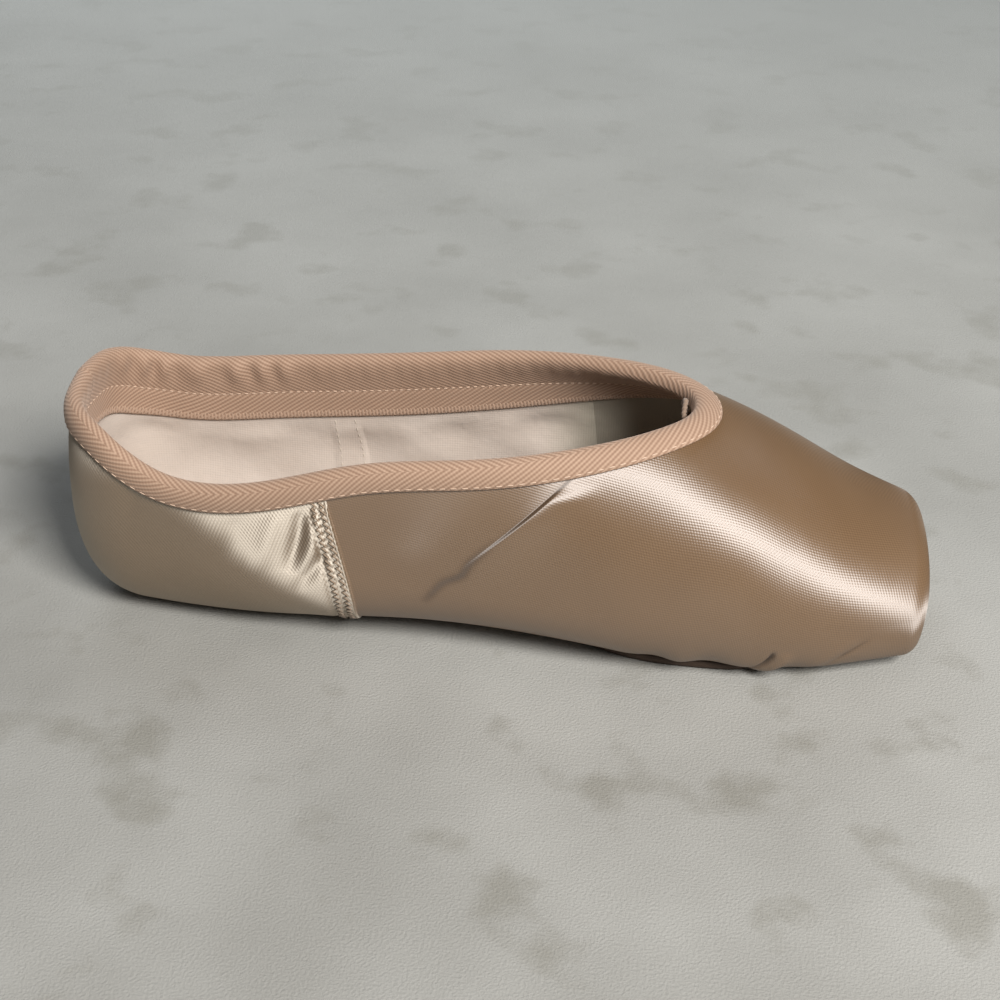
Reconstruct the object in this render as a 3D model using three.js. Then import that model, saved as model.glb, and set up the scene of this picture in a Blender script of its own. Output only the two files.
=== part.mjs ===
// A satin pointe shoe, empty and standing on its sole. Sizes are in mm. X runs from the heel to the toe, Y to the
// left of a walker, Z up. The origin is on the floor under the middle of the shoe.
import * as THREE from 'three';

// Main sizes
const LENGTH = 226;
const HEEL_BACK = 20.5;
const HEEL_AXIS = HEEL_BACK - LENGTH / 2;
const FAN_RADIUS = 25;
const RIM = 200.3;
const RIM_RADIUS = 4.2;
const PLATFORM_RUN = 10;
const PLATFORM_DOME = 1;
const CURVE_POWER = 2.1;

// Walls and gaps
const WALL = 1.5;
const BOX_WALL = 2.6;
const GAP = 0.3;
const SEAM = 59.2;
const SEAM_STEP = 0.4;
const WING = 76;
const WING_STEP = 0.7;
const LEAN_FOOT = 15;
const LEAN_BEND = 8;

// The last. "along" is the distance from the heel axis, negative round the back of the heel. Seat and belly are half
// widths. The crown is where the section would close; the collar cuts it off behind the throat.
const LAST = [
  { along: -39.27, seat: 8.5, belly: 20.5, bellyHeight: 32, crown: 86, under: 2.6 },
  { along: -30, seat: 9, belly: 21.6, bellyHeight: 31.4, crown: 85, under: 2.6 },
  { along: -20, seat: 10.3, belly: 24.9, bellyHeight: 30.4, crown: 86, under: 2.6 },
  { along: 0, seat: 14.5, belly: 28.5, bellyHeight: 28, crown: 103, under: 2.6 },
  { along: 35, seat: 16, belly: 32.5, bellyHeight: 24, crown: 102, under: 2.7 },
  { along: 75, seat: 14.5, belly: 33.8, bellyHeight: 23, crown: 93, under: 4.8 },
  { along: 110, seat: 17.5, belly: 37, bellyHeight: 22.5, crown: 73.2, under: 4.3 },
  { along: 140, seat: 24.4, belly: 38.9, bellyHeight: 23.4, crown: 64, under: 3.1 },
  { along: 157, seat: 25.8, belly: 37.6, bellyHeight: 23.6, crown: 57.2, under: 2.9 },
  { along: 172, seat: 25.4, belly: 35, bellyHeight: 19.4, crown: 49.8, under: 2.5 },
  { along: 185, seat: 22.5, belly: 31.6, bellyHeight: 18.6, crown: 42.6, under: 3 },
  { along: RIM, seat: 18.5, belly: 26.8, bellyHeight: 19.6, crown: 35.8, under: 3.8 },
];

// The top edge of the upper. "fromHeel" is the distance from the back of the heel. The right side has sagged.
const THROAT = 143.6;
const COLLAR = [
  { fromHeel: 3.5, right: 59.8, left: 59.8 },
  { fromHeel: 12, right: 57.6, left: 55 },
  { fromHeel: 25, right: 49.4, left: 52 },
  { fromHeel: 42, right: 45.6, left: 52.4 },
  { fromHeel: 60, right: 48.6, left: 53.6 },
  { fromHeel: 80, right: 54, left: 55.4 },
  { fromHeel: 105, right: 57, left: 58.4 },
  { fromHeel: 130, right: 59.6, left: 61.6 },
  { fromHeel: 148, right: 61.8, left: 63.2 },
  { fromHeel: 158, right: 62.7, left: 63.2 },
];

// The ribs that the upper is built on. Each meets the sole at "foot" and leans forward by "lean" as it climbs. Two
// close ribs stand at the side seam and two at the edge of the toe box.
const RIBS = [
  { foot: -39.27, lean: 0, steps: 7 },
  { foot: 0, lean: 0, steps: 5 },
  { foot: 40, lean: -0.1, steps: 3 },
  { foot: SEAM - 0.4, lean: -0.26, steps: 1 },
  { foot: SEAM + 0.4, lean: -0.26, steps: 6 },
  { foot: WING - 0.4, lean: 1.1, steps: 1 },
  { foot: WING + 0.4, lean: 1.1, steps: 4 },
  { foot: 100, lean: 0.65, steps: 4 },
  { foot: 122, lean: 0.3, steps: 4 },
  { foot: 137, lean: 0.08, steps: 2 },
  { foot: THROAT - 2.2, lean: 0, steps: 1 },
  { foot: THROAT - 1, lean: 0, steps: 1 },
  { foot: THROAT - 0.25, lean: 0, steps: 1 },
  { foot: THROAT, lean: 0, steps: 4 },
  { foot: 164, lean: 0, steps: 5 },
  { foot: RIM, lean: 0, steps: 4 },
  { foot: RIM + RIM_RADIUS * Math.PI / 2, lean: 0, steps: 3 },
  { foot: RIM + RIM_RADIUS * Math.PI / 2 + PLATFORM_RUN, lean: 0, steps: 0 },
];
const MARGIN_ROWS = 1;
const UNDER_ROWS = 5;
const SIDE_ROWS = 8;

// The lasting margin is turned under by this much, and the opening it leaves ends under the sole.
const MARGIN = 6;
const OPENING_END = 164;
const OPENING_ROUND = 26;

// Binding: a tape folded over the edge, longer inside than outside. "down" runs from the edge along the wall, and
// "out" is measured from the wall on the side where the leg lies.
const BINDING_OUTSIDE = 5.8;
const BINDING_INSIDE = 18.5;
const BINDING_OUTER_LEG = [
  { down: BINDING_OUTSIDE, out: 0.4 },
  { down: BINDING_OUTSIDE, out: 1 },
  { down: 4.2, out: 1.5 },
  { down: 2.2, out: 1.7 },
  { down: 0.2, out: 1.4 },
  { down: -1.2, out: 0.5 },
];
const BINDING_INNER_LEG = [
  { down: -1.2, out: 0.5 },
  { down: 0.2, out: 1.4 },
  { down: 4, out: 1.6 },
  { down: 9.5, out: 1 },
  { down: 14, out: 1 },
  { down: BINDING_INSIDE, out: 1 },
  { down: BINDING_INSIDE, out: GAP },
  { down: 9.5, out: GAP },
  { down: -GAP, out: GAP },
];
const BINDING_RETURN = [
  { down: -GAP, out: GAP },
  { down: 3, out: 0.4 },
];

// Sole and sock
const SOLE_BACK = -100.5;
const SOLE_TIP = 82;
const SOLE_HEEL_ROUND = 13;
const SOLE_TIP_ROUND = 20;
const SOLE_BEVEL = 0.7;
const HEEL_BREAST = -57;
const BALL_BACK = 46;
const BALL_FRONT = 68;
const ARCH_RISE = 2.2;
const TIP_RISE = 0.35;
const SOLE_WIDTHS = [
  { at: SOLE_BACK, half: 12.4 },
  { at: -85, half: 13.8 },
  { at: -57, half: 15 },
  { at: -17, half: 12.6 },
  { at: 14, half: 17.4 },
  { at: 36, half: 25.7 },
  { at: 54, half: 28 },
  { at: 68, half: 27.4 },
  { at: SOLE_TIP, half: 24 },
];
const SOCK_BACK = -99.5;
const SOCK_TIP = 92;
const SOCK_THICKNESS = 1.6;
const SOCK_INSET = 0.8;

// Drawstring: a loop out of the binding at the throat. Offsets are from the tip of the opening.
const CORD_RADIUS = 0.75;
const CORD_SIDES = 8;
const CORD_STEPS = 26;
const CORD_PATH = [
  { back: -9, side: -3, up: -10.8 },
  { back: -3.2, side: -3.2, up: -8.6 },
  { back: 1.8, side: -3.4, up: -5.8 },
  { back: 3.9, side: -3.1, up: -2.2 },
  { back: 3.7, side: 0, up: 0.5 },
  { back: 3.9, side: 3.1, up: -2.2 },
  { back: 1.8, side: 3.4, up: -5.8 },
  { back: -3.2, side: 3.2, up: -8.6 },
  { back: -9, side: 3, up: -10.8 },
];

const clamp = (v, lo, hi) => Math.min(Math.max(v, lo), hi);
const ramp = (v, lo, hi) => {
  const t = clamp((v - lo) / (hi - lo), 0, 1);
  return t * t * (3 - 2 * t);
};

// A natural cubic through two columns of a table
function curve(rows, across, value) {
  const x = rows.map((row) => row[across]);
  const y = rows.map((row) => row[value]);
  const n = x.length;
  const bend = new Array(n).fill(0);
  const scale = new Array(n).fill(0);
  for (let i = 1; i < n - 1; i += 1) {
    const share = (x[i] - x[i - 1]) / (x[i + 1] - x[i - 1]);
    const pivot = share * scale[i - 1] + 2;
    const change = (y[i + 1] - y[i]) / (x[i + 1] - x[i]) - (y[i] - y[i - 1]) / (x[i] - x[i - 1]);
    scale[i] = (share - 1) / pivot;
    bend[i] = (6 * change / (x[i + 1] - x[i - 1]) - share * bend[i - 1]) / pivot;
  }
  for (let i = n - 2; i > 0; i -= 1) bend[i] += scale[i] * bend[i + 1];
  return (v) => {
    let k = 0;
    while (k < n - 2 && v > x[k + 1]) k += 1;
    const span = x[k + 1] - x[k];
    const b = (v - x[k]) / span;
    const a = 1 - b;
    return a * y[k] + b * y[k + 1] + ((a ** 3 - a) * bend[k] + (b ** 3 - b) * bend[k + 1]) * span * span / 6;
  };
}

// The other half of the heel goes before the table, so the curves run level across the back of the heel
const otherHalf = LAST.slice(1, 4).map((row) => ({ ...row, along: 2 * LAST[0].along - row.along })).reverse();
const WHOLE_LAST = [...otherHalf, ...LAST];
const seatAt = curve(WHOLE_LAST, 'along', 'seat');
const bellyAt = curve(WHOLE_LAST, 'along', 'belly');
const bellyHeightAt = curve(WHOLE_LAST, 'along', 'bellyHeight');
const crownAt = curve(WHOLE_LAST, 'along', 'crown');
const underAt = curve(WHOLE_LAST, 'along', 'under');
const throatTop = crownAt(THROAT);
const EDGE = [...COLLAR, { fromHeel: THROAT + HEEL_BACK, right: throatTop, left: throatTop }];
const collarAt = { '-1': curve(EDGE, 'fromHeel', 'right'), '1': curve(EDGE, 'fromHeel', 'left') };

// A section from the middle of the underside (turn 0) by the seat edge (1) and the belly (2) to the crown (3)
function section(along, turn) {
  const seat = seatAt(along);
  const belly = bellyAt(along);
  const bellyHeight = bellyHeightAt(along);
  const under = underAt(along);
  if (turn <= 1) return { reach: seat * turn, height: under };
  const power = 2 / CURVE_POWER;
  const angle = (turn <= 2 ? turn - 1 : turn - 2) * Math.PI / 2;
  const rise = Math.sin(angle) ** power;
  const fall = Math.max(Math.cos(angle), 0) ** power;
  if (turn <= 2) {
    return { reach: seat + (belly - seat) * rise, height: bellyHeight - (bellyHeight - under) * fall };
  }
  return { reach: turn >= 3 ? 0 : belly * fall, height: bellyHeight + (crownAt(along) - bellyHeight) * rise };
}

// The outer skin of the last. Side is -1 for the right and 1 for the left. Past the rim the section keeps its taper
// while it rolls over to the platform.
function skin(along, turn, side) {
  if (along < 0) {
    const { reach, height } = section(along, turn);
    const swing = -along / FAN_RADIUS;
    return new THREE.Vector3(HEEL_AXIS - reach * Math.sin(swing), side * reach * Math.cos(swing), height);
  }
  const roll = clamp((along - RIM) / RIM_RADIUS, 0, Math.PI / 2);
  const reached = Math.min(along, RIM) + RIM_RADIUS * Math.sin(roll);
  const { reach, height } = section(reached, turn);
  const flat = clamp((along - RIM - RIM_RADIUS * Math.PI / 2) / PLATFORM_RUN, 0, 1);
  const shrink = (1 - RIM_RADIUS * (1 - Math.cos(roll)) / bellyAt(reached)) * (1 - flat);
  const middle = bellyHeightAt(reached);
  const x = HEEL_AXIS + reached + PLATFORM_DOME * (1 - (1 - flat) ** 2);
  return new THREE.Vector3(x, side * reach * shrink, middle + (height - middle) * shrink);
}

function slopes(along, turn, side) {
  const du = 0.02;
  const dw = 0.002;
  const w0 = Math.max(turn - dw, 0);
  const w1 = Math.min(turn + dw, 3);
  const onward = skin(along + du, turn, side).sub(skin(along - du, turn, side)).divideScalar(2 * du);
  const upward = skin(along, w1, side).sub(skin(along, w0, side)).divideScalar(w1 - w0);
  return { onward, upward };
}

const LAST_RIB = RIBS[RIBS.length - 1].foot;
const HEEL_RIB = RIBS[0].foot;

function normal(along, turn, side) {
  if (along >= LAST_RIB - 1e-6) return new THREE.Vector3(1, 0, 0);
  const u = clamp(along, HEEL_RIB + 0.05, LAST_RIB - 0.5);
  const { onward, upward } = slopes(u, clamp(turn, 0.004, 2.996), side);
  const n = onward.cross(upward).multiplyScalar(-side);
  if (along <= HEEL_RIB + 1e-6 || turn >= 3 || turn <= 0) n.y = 0;
  return n.normalize();
}

const wallAt = (along) => WALL + (BOX_WALL - WALL) * ramp(along, 100, 150);

// Where the skin reaches a height above the belly
function turnAtHeight(along, height) {
  const low = bellyHeightAt(along);
  const share = clamp((height - low) / (crownAt(along) - low), 0, 1);
  return 2 + Math.asin(share ** (CURVE_POWER / 2)) / (Math.PI / 2);
}

function ribAlong(rib, turn) {
  let along = rib.foot;
  for (let k = 0; k < 14 && rib.lean; k += 1) {
    const height = Math.max(section(along, turn).height - LEAN_FOOT, 0);
    const aim = rib.foot + rib.lean * height * height / (height + LEAN_BEND);
    along = (along + aim) / 2;
  }
  return along;
}

function ribTop(rib, side) {
  if (rib.foot >= THROAT - 1e-6) return 3;
  if (rib.foot <= HEEL_RIB + 1e-6) return turnAtHeight(rib.foot, COLLAR[0].right);
  const below = (turn) => {
    const p = skin(ribAlong(rib, turn), turn, side);
    return p.z < collarAt[side](p.x + LENGTH / 2);
  };
  const stride = 0.02;
  let high = 2;
  while (high < 3 - stride && below(high)) high += stride;
  let low = high - stride;
  for (let k = 0; k < 24; k += 1) {
    const half = (low + high) / 2;
    if (below(half)) low = half;
    else high = half;
  }
  return high;
}

function ribBottom(rib) {
  if (rib.foot >= OPENING_END - 1e-6) return 0;
  const back = clamp((rib.foot - OPENING_END + OPENING_ROUND) / OPENING_ROUND, 0, 1);
  const seat = seatAt(rib.foot);
  return (seat - MARGIN) / seat * Math.sqrt(1 - back * back);
}

const ribs = [];
RIBS.forEach((row, k) => {
  const next = RIBS[k + 1];
  for (let s = 0; s < Math.max(row.steps, next ? 0 : 1); s += 1) {
    const t = next ? s / row.steps : 0;
    const foot = next ? row.foot + (next.foot - row.foot) * t : row.foot;
    ribs.push({ foot, lean: next ? row.lean + (next.lean - row.lean) * t : row.lean });
  }
});
const throatRib = ribs.findIndex((rib) => rib.foot >= THROAT - 1e-6);
const openingRib = ribs.findIndex((rib) => rib.foot >= OPENING_END - 1e-6);

// The steps in the wall: the heel panel laps over the side seam, and the toe box stands proud at its edge
function raise(rib, turn, share) {
  const height = section(rib.foot, turn).height;
  const behind = SEAM - rib.foot;
  const ahead = rib.foot - WING;
  const belowBinding = 1 - ramp(share, 0.52, 0.68);
  const lap = behind > 0 ? SEAM_STEP * (1 - ramp(behind, 0.4, 14)) : 0;
  const box = ahead > 0 ? WING_STEP * (1 - ramp(ahead, 0.4, 30)) * ramp(height, 14, 26) : 0;
  return (lap * ramp(turn, 1, 1.4) + box) * belowBinding;
}

class Surface {
  constructor() {
    this.points = [];
    this.faces = [];
  }

  add(p) {
    this.points.push(p.x, p.y, p.z);
    return this.points.length / 3 - 1;
  }

  apart(a, b) {
    return Math.hypot(...[0, 1, 2].map((k) => this.points[3 * a + k] - this.points[3 * b + k]));
  }

  // Four corners in order, cut along the shorter diagonal
  quad(a, b, c, d, flip) {
    const faces = this.apart(a, c) <= this.apart(b, d) ? [[a, b, c], [a, c, d]] : [[a, b, d], [b, c, d]];
    for (const [p, q, r] of faces) this.faces.push(p, flip ? r : q, flip ? q : r);
  }

  // Joins points that lie together and drops the triangles that this closes
  mesh(name, look) {
    const seen = new Map();
    const kept = [];
    const index = [];
    for (let i = 0; i < this.points.length; i += 3) {
      const p = this.points.slice(i, i + 3);
      const key = p.map((v) => Math.round(v * 500)).join(',');
      if (!seen.has(key)) {
        seen.set(key, kept.length / 3);
        kept.push(...p);
      }
      index.push(seen.get(key));
    }
    const faces = [];
    for (let i = 0; i < this.faces.length; i += 3) {
      const [a, b, c] = this.faces.slice(i, i + 3).map((v) => index[v]);
      if (a !== b && b !== c && c !== a) faces.push(a, b, c);
    }
    const geometry = new THREE.BufferGeometry();
    geometry.setAttribute('position', new THREE.Float32BufferAttribute(kept, 3));
    geometry.setIndex(faces);
    geometry.computeVertexNormals();
    const made = new THREE.Mesh(geometry, new THREE.MeshStandardMaterial(look));
    made.name = name;
    return made;
  }
}

// Upper
function rowTurn(rib, row, side) {
  const low = ribBottom(rib);
  const high = ribTop(rib, side);
  if (row <= MARGIN_ROWS) return { turn: low + (1 - low) * row / MARGIN_ROWS, share: 0 };
  if (row <= MARGIN_ROWS + UNDER_ROWS) return { turn: 1 + (row - MARGIN_ROWS) / UNDER_ROWS, share: 0 };
  const share = (row - MARGIN_ROWS - UNDER_ROWS) / SIDE_ROWS;
  return { turn: 2 + (high - 2) * share, share };
}

function upper() {
  const made = new Surface();
  const rows = MARGIN_ROWS + UNDER_ROWS + SIDE_ROWS;
  for (const side of [-1, 1]) {
    const outer = [];
    const inner = [];
    for (const rib of ribs) {
      const outerRow = [];
      const innerRow = [];
      for (let row = 0; row <= rows; row += 1) {
        const { turn, share } = rowTurn(rib, row, side);
        const along = Math.max(ribAlong(rib, turn), HEEL_RIB);
        const p = skin(along, turn, side);
        const n = normal(along, turn, side);
        outerRow.push(made.add(p.clone().addScaledVector(n, raise(rib, turn, share))));
        innerRow.push(made.add(p.clone().addScaledVector(n, -wallAt(along))));
      }
      outer.push(outerRow);
      inner.push(innerRow);
    }
    const flip = side > 0;
    for (let i = 0; i + 1 < ribs.length; i += 1) {
      for (let j = 0; j < rows; j += 1) {
        made.quad(outer[i][j], outer[i + 1][j], outer[i + 1][j + 1], outer[i][j + 1], flip);
        made.quad(inner[i][j], inner[i + 1][j], inner[i + 1][j + 1], inner[i][j + 1], !flip);
      }
      if (i < throatRib) made.quad(outer[i][rows], outer[i + 1][rows], inner[i + 1][rows], inner[i][rows], flip);
      if (i < openingRib) made.quad(outer[i][0], inner[i][0], inner[i + 1][0], outer[i + 1][0], flip);
    }
  }
  return made.mesh('upper', { color: 0xa98d72, roughness: 0.35, metalness: 0 });
}

// Binding: its section is carried along the edge, each leg laid on the skin square to the edge
function edgeAt(k, side) {
  const rib = ribs[k];
  const turn = ribTop(rib, side);
  return { along: ribAlong(rib, turn), turn };
}

function layDown(start, side, heading, reach) {
  const at = { ...start };
  const steps = Math.max(1, Math.round(reach));
  for (let k = 0; k < steps; k += 1) {
    const { onward, upward } = slopes(clamp(at.along, HEEL_RIB + 0.05, RIM), clamp(at.turn, 0.004, 2.996), side);
    const a = onward.dot(onward);
    const b = onward.dot(upward);
    const c = upward.dot(upward);
    const n = onward.clone().cross(upward).normalize();
    const flat = heading.clone().addScaledVector(n, -heading.dot(n)).normalize();
    const p = flat.dot(onward);
    const q = flat.dot(upward);
    const scale = reach / steps / (a * c - b * b);
    at.along = Math.max(at.along + (p * c - q * b) * scale, HEEL_RIB);
    at.turn = Math.min(at.turn + (q * a - p * b) * scale, 3);
  }
  return at;
}

function bindingRing(k, side) {
  const here = edgeAt(k, side);
  const p = skin(here.along, here.turn, side);
  const n = normal(here.along, here.turn, side);
  let run = new THREE.Vector3(0, 1, 0);
  if (k > 0 && k < throatRib) {
    const a = edgeAt(k - 1, side);
    const b = edgeAt(k + 1, side);
    run = skin(b.along, b.turn, side).sub(skin(a.along, a.turn, side));
  }
  const down = run.cross(n).normalize();
  if (k === 0) down.set(-n.z, 0, n.x);
  if (k === throatRib) down.set(n.z, 0, -n.x);
  const inward = new THREE.Vector3(k === throatRib ? 1 : k === 0 ? -1 : 0, side * (k > 0 && k < throatRib), -1);
  if (down.dot(inward) < 0) down.negate();
  const middle = k === 0 || k === throatRib;
  const place = (spot, outside) => {
    const out = (along) => (outside ? spot.out : -wallAt(along) - spot.out);
    if (spot.down <= 0) {
      return p.clone().addScaledVector(down, spot.down).addScaledVector(n, out(here.along));
    }
    const at = middle ? straightDown(here, spot.down, side, k === 0) : layDown(here, side, down, spot.down);
    return skin(at.along, at.turn, side).addScaledVector(normal(at.along, at.turn, side), out(at.along));
  };
  return [
    ...BINDING_OUTER_LEG.map((spot) => place(spot, true)),
    ...BINDING_INNER_LEG.map((spot) => place(spot, false)),
    ...BINDING_RETURN.map((spot) => place(spot, true)),
  ];
}

// On the middle line the leg runs down the back of the heel or forward along the vamp
function straightDown(here, reach, side, heel) {
  let { along, turn } = here;
  const steps = Math.max(1, Math.round(reach));
  for (let k = 0; k < steps; k += 1) {
    if (heel) {
      const rate = skin(HEEL_RIB, turn + 0.001, side).distanceTo(skin(HEEL_RIB, turn - 0.001, side)) / 0.002;
      turn -= reach / steps / rate;
    } else {
      const rate = skin(along + 0.01, 3, side).distanceTo(skin(along - 0.01, 3, side)) / 0.02;
      along += reach / steps / rate;
    }
  }
  return { along, turn };
}

function binding() {
  const made = new Surface();
  const stops = [];
  for (let k = 0; k <= throatRib; k += 1) stops.push([k, -1]);
  for (let k = throatRib - 1; k > 0; k -= 1) stops.push([k, 1]);
  const rings = stops.map(([k, side]) => bindingRing(k, side).map((p) => made.add(p)));
  rings.forEach((ring, i) => {
    const next = rings[(i + 1) % rings.length];
    ring.forEach((point, j) => {
      const over = (j + 1) % ring.length;
      made.quad(point, next[j], next[over], ring[over], false);
    });
  });
  return made.mesh('collar_binding', { color: 0xc79f80, roughness: 0.85, metalness: 0 });
}

// Flat pieces: stations along the shoe, each with points across it
function plate(name, stations, look) {
  const made = new Surface();
  const rows = stations.map((s) => ({ top: s.top.map((p) => made.add(p)), bottom: s.bottom.map((p) => made.add(p)) }));
  for (let i = 0; i + 1 < rows.length; i += 1) {
    const a = rows[i];
    const b = rows[i + 1];
    const last = a.top.length - 1;
    for (let j = 0; j < last; j += 1) {
      made.quad(a.top[j], b.top[j], b.top[j + 1], a.top[j + 1], false);
      made.quad(a.bottom[j], b.bottom[j], b.bottom[j + 1], a.bottom[j + 1], true);
    }
    made.quad(a.bottom[0], b.bottom[0], b.top[0], a.top[0], false);
    made.quad(a.bottom[last], b.bottom[last], b.top[last], a.top[last], true);
  }
  for (const [row, flip] of [[rows[0], true], [rows[rows.length - 1], false]]) {
    for (let j = 0; j + 1 < row.top.length; j += 1) {
      made.quad(row.bottom[j], row.bottom[j + 1], row.top[j + 1], row.top[j], flip);
    }
  }
  return made.mesh(name, look);
}

const solesWidth = curve(SOLE_WIDTHS, 'at', 'half');

function planAlong(x, y) {
  if (x >= HEEL_AXIS) return x - HEEL_AXIS;
  return -FAN_RADIUS * Math.atan2(HEEL_AXIS - x, Math.abs(y));
}

function endRound(x, back, tip, heelRound, tipRound) {
  const heel = clamp((back + heelRound - x) / heelRound, 0, 1);
  const toe = clamp((x - tip + tipRound) / tipRound, 0, 1);
  return Math.sqrt(Math.max(1 - heel ** 2, 0)) * (1 - toe ** 2.4) ** (1 / 2.4);
}

function soleBottom(x) {
  const arch = clamp((x - HEEL_BREAST) / (BALL_BACK - HEEL_BREAST), 0, 1);
  const tip = clamp((x - BALL_FRONT) / (SOLE_TIP - BALL_FRONT), 0, 1);
  return ARCH_RISE * Math.sin(Math.PI * arch) ** 2 + TIP_RISE * tip * tip;
}

function spread(back, tip, count) {
  return Array.from({ length: count + 1 }, (_, i) => {
    const t = i / count;
    const eased = t - 0.72 * Math.sin(2 * Math.PI * t) / (2 * Math.PI);
    return back + (tip - back) * eased;
  });
}

function outsole() {
  const across = [-1, -0.75, -0.4, 0, 0.4, 0.75, 1];
  const stations = spread(SOLE_BACK + 0.05, SOLE_TIP - 0.05, 32).map((x) => {
    const half = Math.max(solesWidth(x) * endRound(x, SOLE_BACK, SOLE_TIP, SOLE_HEEL_ROUND, SOLE_TIP_ROUND), 0.9);
    const top = across.map((a) => new THREE.Vector3(x, a * half, underAt(planAlong(x, a * half)) - GAP));
    const bottom = across.map((a) => new THREE.Vector3(x, a * (half - SOLE_BEVEL), soleBottom(x)));
    return { top, bottom };
  });
  return plate('outsole', stations, { color: 0x3f2d20, roughness: 0.8, metalness: 0 });
}

function sock() {
  const stations = spread(SOCK_BACK, SOCK_TIP, 26).map((x) => {
    const along = planAlong(x, 0);
    const seat = x >= HEEL_AXIS ? seatAt(along) : seatAt(0);
    const half = Math.max((seat - SOCK_INSET) * endRound(x, SOCK_BACK - 0.3, SOCK_TIP + 0.4, 8, 24), 1);
    const openingAt = (foot) => ribBottom({ foot }) * seatAt(foot);
    const nearest = Math.min(openingAt(Math.max(along, 0)), openingAt(Math.max(along + 7, 0)), half);
    const opening = Math.max(nearest - 1.5, 0.2);
    const hollow = clamp(Math.min(opening / 3, (x - SOCK_BACK - 8) / 3), 0, 1);
    const across = [-half, -opening - 0.6, -opening, 0, opening, opening + 0.6, half];
    const bed = (y) => underAt(planAlong(x, y)) + wallAt(along) + GAP + 0.1;
    const drop = [0, 0, 1, 1, 1, 0, 0];
    const spots = across.map((y) => clamp(y, -half, half));
    const top = spots.map((y) => new THREE.Vector3(x, y, bed(y) + SOCK_THICKNESS));
    const bottom = spots.map((y, j) => new THREE.Vector3(x, y, bed(y) - drop[j] * hollow * wallAt(along)));
    return { top, bottom };
  });
  return plate('insole', stations, { color: 0xcdbfae, roughness: 0.9, metalness: 0 });
}

function drawstring() {
  const tip = skin(THROAT, 3, 1);
  const spots = CORD_PATH.map((s) => new THREE.Vector3(tip.x - s.back, s.side, tip.z + s.up));
  const path = new THREE.CatmullRomCurve3(spots, false, 'centripetal');
  const made = new Surface();
  const frames = path.computeFrenetFrames(CORD_STEPS, false);
  const rings = [];
  for (let i = 0; i <= CORD_STEPS; i += 1) {
    const centre = path.getPointAt(i / CORD_STEPS);
    const ring = [];
    for (let j = 0; j < CORD_SIDES; j += 1) {
      const angle = 2 * Math.PI * j / CORD_SIDES;
      const out = frames.normals[i].clone().multiplyScalar(Math.cos(angle));
      out.addScaledVector(frames.binormals[i], Math.sin(angle));
      ring.push(made.add(centre.clone().addScaledVector(out, CORD_RADIUS)));
    }
    rings.push(ring);
  }
  for (let i = 0; i < CORD_STEPS; i += 1) {
    for (let j = 0; j < CORD_SIDES; j += 1) {
      const over = (j + 1) % CORD_SIDES;
      made.quad(rings[i][j], rings[i][over], rings[i + 1][over], rings[i + 1][j], false);
    }
  }
  for (let j = 1; j + 1 < CORD_SIDES; j += 1) {
    made.faces.push(rings[0][0], rings[0][j + 1], rings[0][j]);
    made.faces.push(rings[CORD_STEPS][0], rings[CORD_STEPS][j], rings[CORD_STEPS][j + 1]);
  }
  return made.mesh('drawstring', { color: 0xcfa98b, roughness: 0.8, metalness: 0 });
}

const group = new THREE.Group();
group.name = 'pointe_shoe';
group.add(upper(), binding(), outsole(), sock(), drawstring());

export default group;
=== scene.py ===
# %% [markdown]
# # A satin pointe shoe
# This lesson dresses the solids of a pointe shoe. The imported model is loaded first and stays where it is.
# Every piece below is made at the same place and in the same size, so the finished shoe fits the solids
# with no moving about.

# %% Load the solids
import math

import bpy
import bmesh
import numpy as np
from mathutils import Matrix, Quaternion, Vector


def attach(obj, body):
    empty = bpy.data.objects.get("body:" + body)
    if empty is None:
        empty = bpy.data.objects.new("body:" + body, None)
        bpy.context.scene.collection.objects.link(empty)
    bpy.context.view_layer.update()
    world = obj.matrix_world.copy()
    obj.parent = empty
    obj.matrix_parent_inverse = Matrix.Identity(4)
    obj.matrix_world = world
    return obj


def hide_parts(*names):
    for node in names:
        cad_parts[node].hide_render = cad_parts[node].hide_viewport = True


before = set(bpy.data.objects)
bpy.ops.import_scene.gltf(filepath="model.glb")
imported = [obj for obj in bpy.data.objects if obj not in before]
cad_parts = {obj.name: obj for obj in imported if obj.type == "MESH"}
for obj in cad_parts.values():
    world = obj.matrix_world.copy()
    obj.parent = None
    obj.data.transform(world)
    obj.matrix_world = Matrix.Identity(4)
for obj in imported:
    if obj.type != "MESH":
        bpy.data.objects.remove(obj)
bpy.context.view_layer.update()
print("solids:", sorted(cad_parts))

# %% [markdown]
# ## The camera
# The shoe is seen from its right side and from above, by a camera that is held a little askew. The lens
# is set by its angle, the place by a direction and a distance from the middle of the shoe, and the last
# turn is the askew hold.

# %% Camera
VIEW_AZIMUTH = math.radians(4.88)
VIEW_ELEVATION = math.radians(31.39)
VIEW_ROLL = math.radians(1.44)
VIEW_ANGLE = math.radians(35)
VIEW_DISTANCE = 0.42366
VIEW_TARGET = Vector((0.00066, 0, 0.0301))

lens = bpy.data.cameras.new("photo_lens")
lens.sensor_width = 36
lens.lens = lens.sensor_width / 2 / math.tan(VIEW_ANGLE / 2)
lens.clip_start = 0.01
camera = bpy.data.objects.new("photo_camera", lens)
bpy.context.scene.collection.objects.link(camera)
bpy.context.scene.camera = camera

towards_eye = Vector((
    math.sin(VIEW_AZIMUTH) * math.cos(VIEW_ELEVATION),
    -math.cos(VIEW_AZIMUTH) * math.cos(VIEW_ELEVATION),
    math.sin(VIEW_ELEVATION),
))
camera.location = VIEW_TARGET + towards_eye * VIEW_DISTANCE
camera.rotation_mode = "QUATERNION"
camera.rotation_quaternion = (-towards_eye).to_track_quat("-Z", "Y") @ Quaternion((0, 0, 1), VIEW_ROLL)
print("camera at", [round(v, 4) for v in camera.location])

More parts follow.
